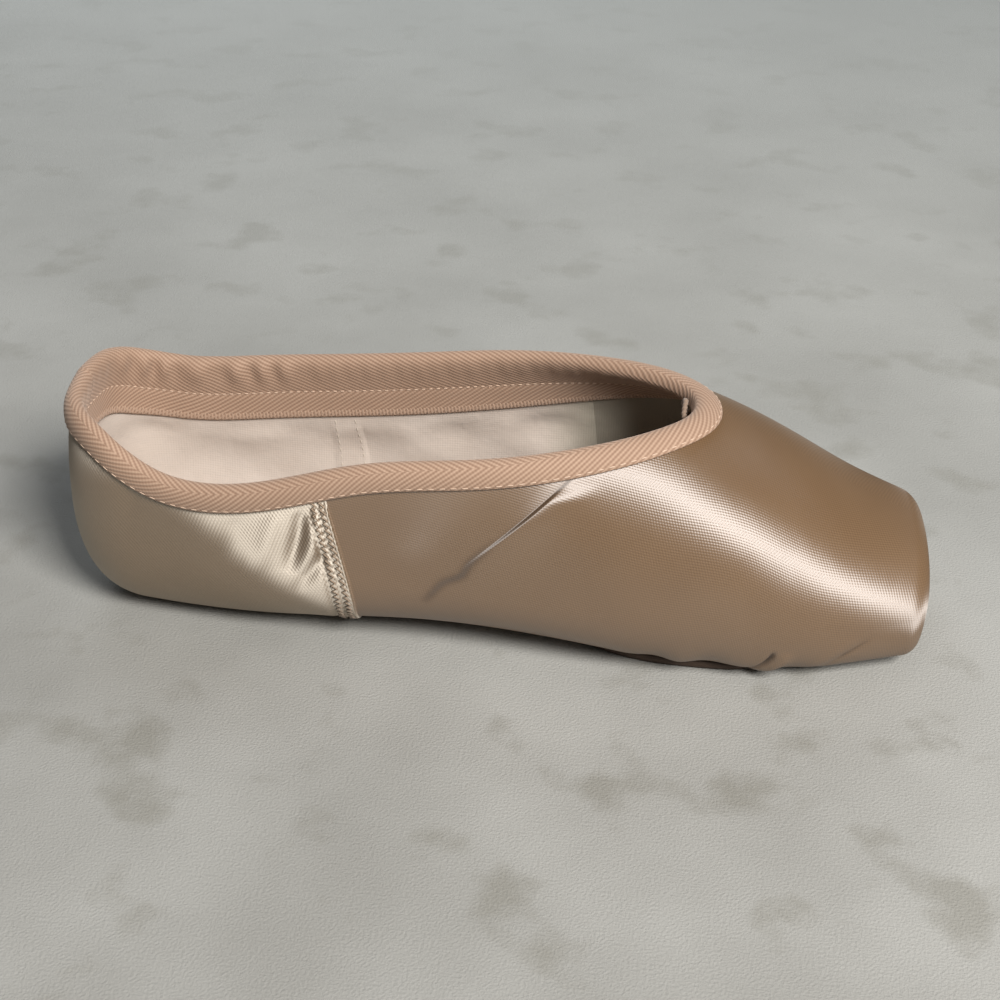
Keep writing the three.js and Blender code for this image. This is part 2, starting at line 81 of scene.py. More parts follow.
# %% [markdown]
# ## The form of the last
# A shoe is stretched over a wooden last, so one smooth form carries everything. It is a row of cross
# sections. Each is given by the half width where it sits on the sole, the half width and height of its
# belly, and the height of its crown. Smooth curves through this table give a section anywhere. Sizes here
# are in millimetres.

# %% The table of the last
MM = 0.001
SHOE_LENGTH = 226.0
HEEL_DEPTH = 20.5
HEEL_AXIS = HEEL_DEPTH - SHOE_LENGTH / 2
FAN_RADIUS = 25.0
RIM = 200.3
RIM_RADIUS = 4.2
PLATFORM_RUN = 10.0
PLATFORM_DOME = 1.0
CURVE_POWER = 2.1

LAST = np.array([
    (-39.27, 8.5, 20.5, 32.0, 86.0, 2.6),
    (-30.0, 9.0, 21.6, 31.4, 85.0, 2.6),
    (-20.0, 10.3, 24.9, 30.4, 86.0, 2.6),
    (0.0, 14.5, 28.5, 28.0, 103.0, 2.6),
    (35.0, 16.0, 32.5, 24.0, 102.0, 2.7),
    (75.0, 14.5, 33.8, 23.0, 93.0, 4.8),
    (110.0, 17.5, 37.0, 22.5, 73.2, 4.3),
    (140.0, 24.4, 38.9, 23.4, 64.0, 3.1),
    (157.0, 25.8, 37.6, 23.6, 57.2, 2.9),
    (172.0, 25.4, 35.0, 19.4, 49.8, 2.5),
    (185.0, 22.5, 31.6, 18.6, 42.6, 3.0),
    (RIM, 18.5, 26.8, 19.6, 35.8, 3.8),
], dtype=[(column, float) for column in ("along", "seat", "belly", "belly_height", "crown", "under")])


def smooth_curve(x, y):
    """A natural cubic through the points, which takes arrays."""
    n = len(x)
    bend = np.zeros(n)
    scale = np.zeros(n)
    for i in range(1, n - 1):
        share = (x[i] - x[i - 1]) / (x[i + 1] - x[i - 1])
        pivot = share * scale[i - 1] + 2
        change = (y[i + 1] - y[i]) / (x[i + 1] - x[i]) - (y[i] - y[i - 1]) / (x[i] - x[i - 1])
        scale[i] = (share - 1) / pivot
        bend[i] = (6 * change / (x[i + 1] - x[i - 1]) - share * bend[i - 1]) / pivot
    for i in range(n - 2, 0, -1):
        bend[i] += scale[i] * bend[i + 1]

    def value(v):
        k = np.searchsorted(x[1:-1], v)
        span = x[k + 1] - x[k]
        b = (v - x[k]) / span
        a = 1 - b
        swell = (a ** 3 - a) * bend[k] + (b ** 3 - b) * bend[k + 1]
        return a * y[k] + b * y[k + 1] + swell * span ** 2 / 6

    return value


other_half = LAST[1:4][::-1].copy()
other_half["along"] = 2 * LAST["along"][0] - other_half["along"]
whole_last = np.concatenate([other_half, LAST])
seat_at, belly_at, belly_height_at, crown_at, under_at = (
    smooth_curve(whole_last["along"], whole_last[column])
    for column in ("seat", "belly", "belly_height", "crown", "under")
)
print("widest half width:", round(float(belly_at(np.linspace(0, RIM, 400)).max()), 2), "mm")

# %% [markdown]
# A point of the skin has two numbers. "Along" runs from the back of the heel to the toe, and is negative
# where the sections fan round the heel. "Turn" climbs the section: 0 under the middle, 1 at the edge of
# the sole, 2 at the belly, 3 at the crown. Past the rim the sections roll over and close into the flat
# platform of the toe.

# %% The skin and its normals
HEEL_BACK = LAST["along"][0]
QUARTER_TURN = math.pi / 2
PLATFORM_START = RIM + RIM_RADIUS * QUARTER_TURN
PLATFORM_MIDDLE = PLATFORM_START + PLATFORM_RUN
TINY = 1e-6
ALONG_NUDGE = 0.02
TURN_NUDGE = 0.002


def ramp(v, low, high):
    """Climbs smoothly from 0 at low to 1 at high."""
    t = np.clip((v - low) / (high - low), 0, 1)
    return t * t * (3 - 2 * t)


def section(along, turn):
    """Half width and height of the skin at this turn of a section."""
    power = 2 / CURVE_POWER
    seat = seat_at(along)
    belly = belly_at(along)
    belly_height = belly_height_at(along)
    lower = np.clip(turn - 1, 0, 1) * QUARTER_TURN
    upper = np.clip(turn - 2, 0, 1) * QUARTER_TURN
    low_reach = seat * np.clip(turn, 0, 1) + (belly - seat) * np.sin(lower) ** power
    low_height = belly_height - (belly_height - under_at(along)) * np.maximum(np.cos(lower), 0) ** power
    high_reach = np.where(turn >= 3, 0, belly * np.maximum(np.cos(upper), 0) ** power)
    high_height = belly_height + (crown_at(along) - belly_height) * np.sin(upper) ** power
    return np.where(turn <= 2, low_reach, high_reach), np.where(turn <= 2, low_height, high_height)


def skin(along, turn, side):
    """The point of the skin on one side of the shoe."""
    along, turn, side = np.broadcast_arrays(along, turn, side)
    swing = np.clip(-along, 0, None) / FAN_RADIUS
    roll = np.clip((along - RIM) / RIM_RADIUS, 0, QUARTER_TURN)
    reached = np.minimum(along, RIM) + RIM_RADIUS * np.sin(roll)
    reach, height = section(reached, turn)
    flat = np.clip((along - PLATFORM_START) / PLATFORM_RUN, 0, 1)
    shrink = (1 - RIM_RADIUS * (1 - np.cos(roll)) / belly_at(reached)) * (1 - flat)
    middle = belly_height_at(reached)
    straight_x = HEEL_AXIS + reached + PLATFORM_DOME * (1 - (1 - flat) ** 2)
    x = np.where(along < 0, HEEL_AXIS - reach * np.sin(swing), straight_x)
    y = side * reach * np.where(along < 0, np.cos(swing), shrink)
    z = middle + (height - middle) * shrink
    return np.stack([x, y, z], axis=-1)


def slopes(along, turn, side, along_end=PLATFORM_MIDDLE - 0.5):
    """How the skin runs onward and upward, a little inside its edges, where neither is zero."""
    along = np.clip(along, HEEL_BACK + 0.05, along_end)
    turn = np.clip(turn, 0.004, 2.996)
    low = np.maximum(turn - TURN_NUDGE, 0)
    high = np.minimum(turn + TURN_NUDGE, 3)
    onward = skin(along + ALONG_NUDGE, turn, side) - skin(along - ALONG_NUDGE, turn, side)
    onward = onward / (2 * ALONG_NUDGE)
    upward = (skin(along, high, side) - skin(along, low, side)) / (high - low)[..., None]
    return onward, upward


def unit(v):
    """The same direction with length 1."""
    return v / np.maximum(np.linalg.norm(v, axis=-1, keepdims=True), 1e-12)


def normal(along, turn, side):
    """The way the skin faces. On the middle line of the shoe it has no part to either side."""
    along, turn, side = np.broadcast_arrays(along, turn, side)
    onward, upward = slopes(along, turn, side)
    n = np.cross(onward, upward) * -np.asarray(side)[..., None]
    on_middle = (along <= HEEL_BACK + TINY) | (turn >= 3) | (turn <= 0)
    n[..., 1] = np.where(on_middle, 0, n[..., 1])
    n[along >= PLATFORM_MIDDLE - TINY] = (1, 0, 0)
    return unit(n)


def apart(points):
    """Distance along a row of points, from its first one."""
    steps = np.linalg.norm(np.diff(points, axis=0), axis=-1)
    return np.concatenate([np.zeros_like(steps[:1]), np.cumsum(steps, axis=0)])


print("crown at the toe:", round(float(crown_at(np.array(RIM))), 1), "mm")

# %% [markdown]
# ## Ribs, the collar and the throat
# The seams of the upper don't stand square to the sole. The side seam leans back and the edge of the
# stiff toe box leans far forward, so the ribs that the cloth is built on lean with them. The collar is a
# line of heights, lower on the right side, where the empty shoe has sagged.

# %% Ribs and the collar
SEAM = 59.2
WING = 76.0
THROAT = 143.6
LEAN_FOOT = 15.0
LEAN_BEND = 8.0
LEAN_ROUNDS = 14
SEARCH_STEP = 0.02
HALVINGS = 24
RIGHT, LEFT = -1, 1

RIBS = np.array([
    (HEEL_BACK, 0, 1.1),
    (0, 0, 1.2),
    (40, -0.1, 1.0),
    (SEAM - 7, -0.22, 0.5),
    (SEAM - 0.8, -0.26, 0.2),
    (SEAM + 0.8, -0.26, 0.9),
    (WING - 2.4, 1.0, 0.4),
    (WING - 0.8, 1.1, 0.2),
    (WING + 0.8, 1.1, 0.8),
    (100, 0.65, 1.1),
    (122, 0.3, 1.0),
    (137, 0.08, 0.8),
    (THROAT - 2.2, 0, 0.3),
    (THROAT - 0.3, 0, 0.1),
    (THROAT, 0, 1.0),
    (159, 0, 0.45),
    (170, 0, 1.0),
    (RIM, 0, 0.7),
    (PLATFORM_START, 0, 1.0),
    (PLATFORM_MIDDLE, 0, 1.0),
], dtype=[(column, float) for column in ("foot", "lean", "spacing")])

COLLAR = np.array([
    (3.5, 59.8, 59.8),
    (12, 57.6, 55.0),
    (25, 49.4, 52.0),
    (42, 45.6, 52.4),
    (60, 48.6, 53.6),
    (80, 54.0, 55.4),
    (105, 57.0, 58.4),
    (130, 59.6, 61.6),
    (148, 61.8, 63.2),
    (158, 62.7, 63.2),
    (THROAT + HEEL_DEPTH, crown_at(THROAT), crown_at(THROAT)),
], dtype=[(column, float) for column in ("from_heel", "right", "left")])
collar_at = {
    RIGHT: smooth_curve(COLLAR["from_heel"], COLLAR["right"]),
    LEFT: smooth_curve(COLLAR["from_heel"], COLLAR["left"]),
}


def rib_along(foot, turn):
    """Where a leaning rib is at this turn. The lean follows the height, so it is found in a few rounds."""
    lean = np.interp(foot, RIBS["foot"], RIBS["lean"])
    along = foot + 0 * turn
    for _ in range(LEAN_ROUNDS):
        height = np.maximum(section(along, turn)[1] - LEAN_FOOT, 0)
        along = (along + foot + lean * height ** 2 / (height + LEAN_BEND)) / 2
    return np.maximum(along, HEEL_BACK)


def rib_top(foot, side):
    """The turn at which each rib meets the collar."""
    foot = np.asarray(foot, float)

    def below(turn):
        p = skin(rib_along(foot, turn), turn, side)
        return p[..., 2] < collar_at[side](p[..., 0] + SHOE_LENGTH / 2)

    low = np.full(foot.shape, 2.0)
    climbing = np.ones(foot.shape, bool)
    for turn in np.arange(2, 2.99, SEARCH_STEP):
        climbing &= below(np.full(foot.shape, turn))
        low = np.where(climbing, turn, low)
    high = low + SEARCH_STEP
    for _ in range(HALVINGS):
        half = (low + high) / 2
        under_edge = below(half)
        low = np.where(under_edge, half, low)
        high = np.where(under_edge, high, half)
    heel_belly = belly_height_at(HEEL_BACK)
    share = (COLLAR["right"][0] - heel_belly) / (crown_at(HEEL_BACK) - heel_belly)
    heel_top = 2 + math.asin(share ** (CURVE_POWER / 2)) / QUARTER_TURN
    high = np.where(foot <= HEEL_BACK + TINY, heel_top, high)
    return np.where(foot >= THROAT - TINY, 3.0, high)


feet = [np.array([HEEL_BACK])]
for row, following in zip(RIBS[:-1], RIBS[1:]):
    count = max(1, round((following["foot"] - row["foot"]) / row["spacing"]))
    feet.append(np.linspace(row["foot"], following["foot"], count + 1)[1:])
feet = np.concatenate(feet)
throat_rib = int(np.argmax(feet >= THROAT - TINY))
tops = {side: rib_top(feet, side) for side in (RIGHT, LEFT)}
print(len(feet), "ribs")

# %% [markdown]
# ## Folds in the satin
# An empty shoe keeps the creases of its making. The heel panel laps over the side seam, the edge of the
# toe box shows through the satin as a step with a hollow behind it, and below the toe the cloth is
# gathered into pleats under the sole. Each of these is given as a soft trough or ridge: a line
# on the shoe, a width and a height.

# %% Troughs and ridges
WALL = 1.5
BOX_WALL = 2.6
BINDING_REACH = 6.0
BINDING_EASE = 4.0
LINING_SEAM = (SEAM - 14.5, SEAM - 7.8)
LINING_TAPE_RISE = 0.4
LAP_HEIGHT = 0.42
LAP_RIDGES = [(0.22, 0.45, 0.45), (-0.22, 2.9, 0.5), (-0.3, 5.6, 0.9)]
PUCKER_HEIGHT, PUCKER_PITCH = 0.16, 1.9
BOX_STEP = 0.75
PLEAT_HEIGHT, PLEAT_MIDDLE = 0.34, 58
SCALLOP_HEIGHT, SCALLOP_TURN = 0.55, 1.36

# A fold is its height off the last, its half width, and the points of its line on the shoe.
FOLDS = [
    (-0.75, 1.9, [(-45, -31.8, 46), (-47, -32.7, 35), (-50, -32.9, 24)]),
    (0.40, 2.0, [(-42.0, -32.2, 44), (-43.2, -33, 34), (-46, -33, 24)]),
    (-0.45, 1.6, [(-38.5, -33, 34), (-43, -33, 27), (-48.5, -32, 18)]),
    (0.30, 2.4, [(-52, -32, 44), (-55, -32.6, 33), (-59, -31.6, 22)]),
    (-0.25, 3.4, [(-60, -31, 44), (-64, -31.4, 32), (-72, -29.6, 20)]),
    (-0.6, 2.8, [(-84, -28, 48), (-91, -26.5, 38), (-100, -21.0, 25)]),
    (-0.5, 2.4, [(-103, -15.5, 50), (-107.5, -12, 40), (-110.5, -8, 28)]),
    (-0.45, 2.2, [(-103, 15.5, 50), (-108, 11.5, 38), (-110.5, 7, 26)]),
    (-0.6, 2.4, [(-84, 27.6, 46), (-91, 26.6, 36), (-100, 21.5, 24)]),
    (-0.5, 3.0, [(-62, 30.8, 46), (-66, 31.2, 34), (-74, 29, 21)]),
    (-0.6, 1.9, [(-46, 31.8, 48), (-48, 32.7, 37), (-51, 32.9, 25)]),
    (-0.45, 0.7, [
        (84, -26.5, 3.4), (87.9, -29.4, 5.9), (91.9, -30.4, 10), (95.9, -30.1, 13.5), (98, -29.6, 16),
    ]),
    (0.3, 1.6, [(80, -26.5, 3.4), (85.5, -31, 7.4), (90, -32, 12), (94, -31.4, 16)]),
    (-1.5, 0.65, [
        (65.5, -28.6, 3.4), (69.8, -32, 5.2), (71.9, -33.4, 7.6), (73, -34.3, 9.6), (73.6, -35.2, 12.4),
    ]),
    (0.9, 1.9, [(68, -27.5, 3.2), (73.6, -31.6, 5.0), (76, -33.4, 8.0), (77, -34.6, 12)]),
    (-0.6, 1.0, [(90, 20.4, 2.6), (95, 24.6, 6.0), (99, 27.2, 12)]),
    (-0.7, 1.0, [(66, 24.5, 2.6), (69, 28.6, 3.6), (71.6, 31.6, 6.2)]),
]

# A crease painted with shade is its darkness, its half width, and the points of its line.
PAINTED_CREASE_SHADES = [
    (0.7, 1.2, [
        (2.5, -35, 39), (-3.4, -34.9, 32.4), (-5.6, -35, 28.2), (-10.5, -34.8, 25.6), (-15.5, -33.6, 18.6),
    ]),
    (0.6, 0.4, [(86.5, -28.4, 5.0), (91.9, -30.4, 10), (97, -29.8, 14.4)]),
    (1.0, 0.6, [(67, -29.8, 3.6), (69.8, -32, 5.2), (71.9, -33.4, 7.6), (73, -34.3, 9.6), (73.5, -35, 12)]),
]
# Darkness of the painted shade along the edge of the toe box, on the near side.
WING_CREASE_SHADE = 0.6


def from_line(points, line):
    """Distance of each point from a bent line, and how far along the line it is, from 0 to 1."""
    line = np.array(line, float)
    reached = apart(line)
    best = np.full(points.shape[:-1], np.inf)
    share = np.zeros(points.shape[:-1])
    for a, b, start in zip(line[:-1], line[1:], reached[:-1]):
        span = np.linalg.norm(b - a)
        t = np.clip((points - a) @ (b - a) / span ** 2, 0, 1)
        far = np.linalg.norm(points - a - t[..., None] * (b - a), axis=-1)
        share = np.where(far < best, (start + t * span) / reached[-1], share)
        best = np.minimum(best, far)
    return best, share


def hump(v, width):
    """1 at zero, falling away softly on both sides."""
    return np.exp(-((v / width) ** 2))


def collar_height(x, side):
    """Height of the collar's edge over a place along the shoe."""
    return collar_at[side](np.minimum(x + SHOE_LENGTH / 2, COLLAR["from_heel"][-1]))


def wall_at(along):
    """Thickness of the upper, which is stiffened in the toe box."""
    return WALL + (BOX_WALL - WALL) * ramp(along, 100, 150)


def relief(p, foot, turn, side):
    """How far the satin stands off the last at a point: seam lap, box edge, pleats and folds."""
    x, y, height = p[..., 0], p[..., 1], p[..., 2]
    below_edge = collar_height(x, side) - height
    clear = np.where(foot < THROAT, ramp(below_edge, BINDING_REACH, BINDING_REACH + BINDING_EASE), 1)
    behind = SEAM - foot
    ahead = foot - WING
    lap = LAP_HEIGHT * ramp(behind, -0.2, 0.2) * (1 - ramp(behind, 1, 15))
    for rise, at, width in LAP_RIDGES:
        lap = lap + rise * hump(behind - at, width)
    pucker = np.sin(height * 2 * math.pi / PUCKER_PITCH + behind * 0.9)
    lap = (lap + PUCKER_HEIGHT * pucker * hump(behind - 3, 2.6)) * ramp(turn, 1, 1.3)
    step = np.sin(np.clip((ahead + 0.5) / 1.2, 0, 1) * QUARTER_TURN)
    box = BOX_STEP * step * (1 - ramp(ahead, 0.7, 30)) * ramp(height, 27, 47)
    off = (lap + box) * clear
    for rise, width, line in FOLDS:
        far, share = from_line(p, line)
        off = off + rise * hump(far, width) * np.sin(math.pi * share) ** 0.7 * clear
    bearing = np.arctan2(y, x - PLEAT_MIDDLE)
    reach = np.hypot(y, x - PLEAT_MIDDLE)
    under_toe = (1 - ramp(turn, 0.75, 1.3)) * ramp(x, 60, 76) * (1 - ramp(x, 96, 108))
    pleats = np.sin(bearing * 15 + 0.8 * np.sin(bearing * 4)) * (1 - ramp(reach, 26, 46))
    off = off + PLEAT_HEIGHT * pleats * under_toe
    scallop = np.sin(x * 0.34 + 0.9 * np.sin(x * 0.13)) * hump(turn - SCALLOP_TURN, 0.22)
    return off - SCALLOP_HEIGHT * scallop * ramp(x, 26, 52) * (1 - ramp(x, 76, 92))


def painted_crease_shade(p, foot):
    """How dark the painted shade of a crease is at a point, from 0 to 1."""
    shade = WING_CREASE_SHADE * hump(foot - WING + 0.1, 0.6) * ramp(p[..., 2], 28, 38) * (p[..., 1] < 0)
    for depth, width, line in PAINTED_CREASE_SHADES:
        far, share = from_line(p, line)
        shade = np.maximum(shade, depth * hump(far, width) * np.sin(math.pi * share) ** 0.5)
    return shade


def satin_point(foot, turn, side):
    """A point on the outside of the satin and the way it faces."""
    along = rib_along(foot, turn)
    p = skin(along, turn, side)
    n = normal(along, turn, side)
    return p + n * relief(p, foot, turn, side)[..., None], n


def lining_point(foot, turn, side):
    """A point on the inside of the upper and the way it faces."""
    along = rib_along(foot, turn)
    p = skin(along, turn, side)
    n = normal(along, turn, side)
    x, z = p[..., 0], p[..., 2]
    slack = 0.5 * np.sin(x * 0.16 + z * 0.24 + 0.8 * np.sin(x * 0.05))
    slack = slack + 0.35 * np.sin(x * 0.29 - z * 0.17 + 2)
    slack = slack + 0.3 * np.sin(x * 0.07 - z * 0.42)
    tape_foot = collar_height(x, side) - 20
    free = ramp(turn, 1.2, 1.8) * (1 - ramp(x, 20, 50)) * (1 - ramp(z, tape_foot - 5, tape_foot))
    first, last = LINING_SEAM
    seam_tape = ramp(foot, first - 1.4, first - 0.8) - ramp(foot, last + 0.8, last + 1.4)
    loose = (slack + LINING_TAPE_RISE * seam_tape) * free
    return p - n * (wall_at(along) + loose)[..., None], -n


print(len(FOLDS), "folds placed by hand")

# %% [markdown]
# ## The upper
# The upper is one hollow shell: satin outside, lining inside, open at the collar and underneath. Two
# grids of points are laid over the ribs, one for each face of the wall, and the edges of the two are
# joined. A second layer of numbers, the UV map, holds the distance along and up the cloth in units of
# 100 mm, so that the weave can follow it.

# %% A small mesh helper
UV_UNIT = 100
MERGE_DISTANCE = 2e-6
SHORTEST_EDGE = 1e-7


def mesh_object(name, points, faces, uv=None, slots=None, shine=None, crease_shade_mask=None, outward=False):
    """A mesh object in metres from points in millimetres, merged where points lie together."""
    mesh = bpy.data.meshes.new(name)
    mesh.from_pydata((np.asarray(points) * MM).tolist(), [], [list(map(int, f)) for f in faces])
    if uv is not None:
        layer = mesh.uv_layers.new(name="cloth")
        corners = np.zeros(len(mesh.loops), np.int32)
        mesh.loops.foreach_get("vertex_index", corners)
        layer.uv.foreach_set("vector", (np.asarray(uv) / UV_UNIT).astype(np.float32)[corners].ravel())
    if slots is not None:
        mesh.polygons.foreach_set("material_index", np.asarray(slots, np.int32))
    if shine is not None:
        layer = mesh.attributes.new("shine", "FLOAT_VECTOR", "POINT")
        layer.data.foreach_set("vector", np.asarray(shine, np.float32).ravel())
    if crease_shade_mask is not None:
        layer = mesh.attributes.new("crease_shade_mask", "FLOAT", "POINT")
        layer.data.foreach_set("value", np.asarray(crease_shade_mask, np.float32))
    made = bpy.data.objects.new(name, mesh)
    bpy.context.scene.collection.objects.link(made)
    shape = bmesh.new()
    shape.from_mesh(mesh)
    bmesh.ops.remove_doubles(shape, verts=shape.verts, dist=MERGE_DISTANCE)
    bmesh.ops.dissolve_degenerate(shape, edges=shape.edges, dist=SHORTEST_EDGE)
    if outward:
        bmesh.ops.recalc_face_normals(shape, faces=shape.faces)
    for face in shape.faces:
        face.smooth = True
    shape.to_mesh(mesh)
    shape.free()
    return made


def grid_faces(index, flip):
    """The quads of a grid of point numbers."""
    corners = [index[:-1, :-1], index[1:, :-1], index[1:, 1:], index[:-1, 1:]]
    quads = np.stack(corners, axis=-1).reshape(-1, 4)
    return quads[:, ::-1] if flip else quads


# %% The shell of the upper
MARGIN = 6.0
OPENING_END = 164.0
OPENING_ROUND = 26.0
OUTER_ROWS = (5, 32, 52)
INNER_ROWS = (3, 9, 26)
HEEL_SATIN, VAMP_SATIN, LINING, PLATFORM_SATIN = range(4)
ALONG_STEPS = 499
TURN_STEPS = 100


def rib_bottom(foot):
    """The turn at which each rib ends under the shoe, at the opening that the sole closes."""
    back = np.clip((foot - OPENING_END + OPENING_ROUND) / OPENING_ROUND, 0, 1)
    seat = seat_at(foot)
    opening = (seat - MARGIN) / seat * np.sqrt(1 - back ** 2)
    return np.where(foot >= OPENING_END - TINY, 0, opening)


def row_turns(rows, side):
    """Turns of the grid on every rib: the margin under the sole, the side up to the belly, and above."""
    low = rib_bottom(feet)[:, None]
    high = tops[side][:, None]
    margin = low + (1 - low) * np.arange(rows[0]) / rows[0]
    under = np.repeat(1 + np.arange(rows[1])[None] / rows[1], len(feet), axis=0)
    climb = 2 + (high - 2) * np.linspace(0, 1, rows[2] + 1)
    return np.concatenate([margin, under, climb], axis=1)


table_along = np.linspace(HEEL_BACK, PLATFORM_MIDDLE, ALONG_STEPS + 1)
table_turn = np.linspace(0, 3, 3 * TURN_STEPS + 1)
table = skin(table_along[:, None], table_turn[None], RIGHT)
climb = apart(table.transpose(1, 0, 2)).T
climb = climb - climb[:, 2 * TURN_STEPS, None]


def climbed(along, turn):
    """Distance up the section from the belly, read from a table."""
    i = np.clip((along - HEEL_BACK) / (table_along[1] - HEEL_BACK), 0, ALONG_STEPS - 0.001)
    j = np.clip(turn * TURN_STEPS, 0, 3 * TURN_STEPS - 0.001)
    a, b = i.astype(int), j.astype(int)
    s, t = i - a, j - b
    low = climb[a, b] * (1 - t) + climb[a, b + 1] * t
    high = climb[a + 1, b] * (1 - t) + climb[a + 1, b + 1] * t
    return low * (1 - s) + high * s


# %% [markdown]
# Satin shines across its threads, and the threads of the two panels lie differently. A direction is
# stored on each point for the shader. On the heel panel it swings round where the bright patch begins. On
# the vamp a short table turns it along the shoe, so that a bright band runs from the throat to the corner
# of the toe. A few places are turned a little more, and the flat of the toe has one direction.

# %% Direction of the shine
HEEL_DULL, HEEL_BRIGHT = 15.0, 62.0
HEEL_BRIGHT_START = (-78.6, 39.6)
HEEL_BRIGHT_ACROSS = (0.679, 0.735)
HEEL_BRIGHT_EDGE = (-13, 10)
VAMP_SHINE = np.array([
    (SEAM, 214), (WING, 211), (82, 209), (98, 174), (115, 160), (129, 155), (140, 155), (150, 162),
    (157, 168), (170, 159), (183, 136), (RIM, 104), (201, 105), (202.5, 123), (203.5, 136),
], dtype=[("foot", float), ("degrees", float)])
PLATFORM_SHINE = np.array((0, 0.4, 0.92))
# A place turned further: its middle along the foot, width, the heights it fades between, and degrees.
VAMP_BRIGHT = [(68.5, 3.4, 24, 36, 14), (76.5, 3.0, 41, 50, 22), (195, 13, 19, 11, 29)]


def shine_direction(p, along, turn, foot, side):
    """The direction along which the satin's gloss stretches."""
    onward, upward = slopes(along, turn, side)
    onward = unit(onward)
    upward = unit(upward - onward * (upward * onward).sum(-1, keepdims=True))
    into_light = (p[..., 0] - HEEL_BRIGHT_START[0]) * HEEL_BRIGHT_ACROSS[0]
    into_light = into_light + (p[..., 2] - HEEL_BRIGHT_START[1]) * HEEL_BRIGHT_ACROSS[1]
    heel_turn = HEEL_DULL + (HEEL_BRIGHT - HEEL_DULL) * ramp(into_light, *HEEL_BRIGHT_EDGE)
    vamp_turn = np.interp(foot, VAMP_SHINE["foot"], VAMP_SHINE["degrees"])
    for middle, width, low, high, degrees in VAMP_BRIGHT:
        vamp_turn = vamp_turn + degrees * hump(foot - middle, width) * ramp(p[..., 2], low, high)
    turned = np.radians(np.where(foot <= SEAM, heel_turn, vamp_turn))
    lift = np.sin(turned) * -side
    shine = onward * np.cos(turned)[..., None] + upward * lift[..., None]
    return np.where((foot >= PLATFORM_START - TINY)[..., None], PLATFORM_SHINE, shine)


# %% Both faces of the wall
points, faces, uv, slots, shine, crease_shade_mask = [], [], [], [], [], []
opening_rib = int(np.argmax(feet >= OPENING_END - TINY))
seam_rib = int(np.argmax(feet > SEAM + TINY)) - 1
toe_rib = int(np.argmax(feet >= PLATFORM_START - TINY))
count = 0
for side in (RIGHT, LEFT):
    flip = side == LEFT
    grids = []
    for rows, place in ((OUTER_ROWS, satin_point), (INNER_ROWS, lining_point)):
        turns = row_turns(rows, side)
        foot = np.repeat(feet[:, None], turns.shape[1], axis=1)
        spots = place(foot, turns, side)[0]
        along = rib_along(foot, turns)
        index = count + np.arange(turns.size).reshape(turns.shape)
        points.append(spots.reshape(-1, 3))
        uv.append(np.stack([along, climbed(along, turns)], axis=-1).reshape(-1, 2))
        shine.append(shine_direction(spots, along, turns, foot, side).reshape(-1, 3))
        # A number on each point for the painted shade of the creases.
        crease_shade_mask.append(painted_crease_shade(skin(along, turns, side), foot).ravel())
        grids.append(index)
        count += turns.size
    outer, inner = grids
    top_edge = np.stack([outer[:throat_rib + 1, -1], inner[:throat_rib + 1, -1]], axis=1)
    low_edge = np.stack([inner[:opening_rib + 1, 0], outer[:opening_rib + 1, 0]], axis=1)
    panels = (
        (outer[:seam_rib + 1], flip, HEEL_SATIN),
        (outer[seam_rib:toe_rib + 1], flip, VAMP_SATIN),
        (outer[toe_rib:], flip, PLATFORM_SATIN),
        (inner, not flip, LINING),
        (top_edge, flip, VAMP_SATIN),
        (low_edge, flip, VAMP_SATIN),
    )
    for part, flipped, slot in panels:
        quads = grid_faces(part, flipped)
        faces.append(quads)
        slots.append(np.full(len(quads), slot))
layers = [np.concatenate(layer) for layer in (points, faces, uv, slots, shine, crease_shade_mask)]
upper = mesh_object("satin_upper", *layers)
print("upper:", len(upper.data.polygons), "faces")

# %% [markdown]
# ## Satin and lining
# Satin is glossy because long threads float over the weave. They reflect light like a bundle of fine
# rods, so the gloss is stretched along the stored direction. The shader keeps a warm beige under it, and
# two sets of fine ribs on the UV map break it up. The flat of the toe takes its ribs from the object's
# own coordinates, because the UV map runs together there. Creases are painted dark brown as shade, and
# made duller, by a number that is stored on each point. The cotton lining is matt, off-white and slightly
# soiled, and a darker cloth lines the toe.

# %% Node helpers
def new_finish(name, **values):
    """A material, its shader with constant values on its own sockets, and a helper that adds nodes."""
    finish = bpy.data.materials.new(name)
    finish.use_nodes = True
    shader = finish.node_tree.nodes["Principled BSDF"]
    for socket, value in values.items():
        shader.inputs[socket.replace("_", " ")].default_value = value
    return finish, shader, Nodes(finish.node_tree)


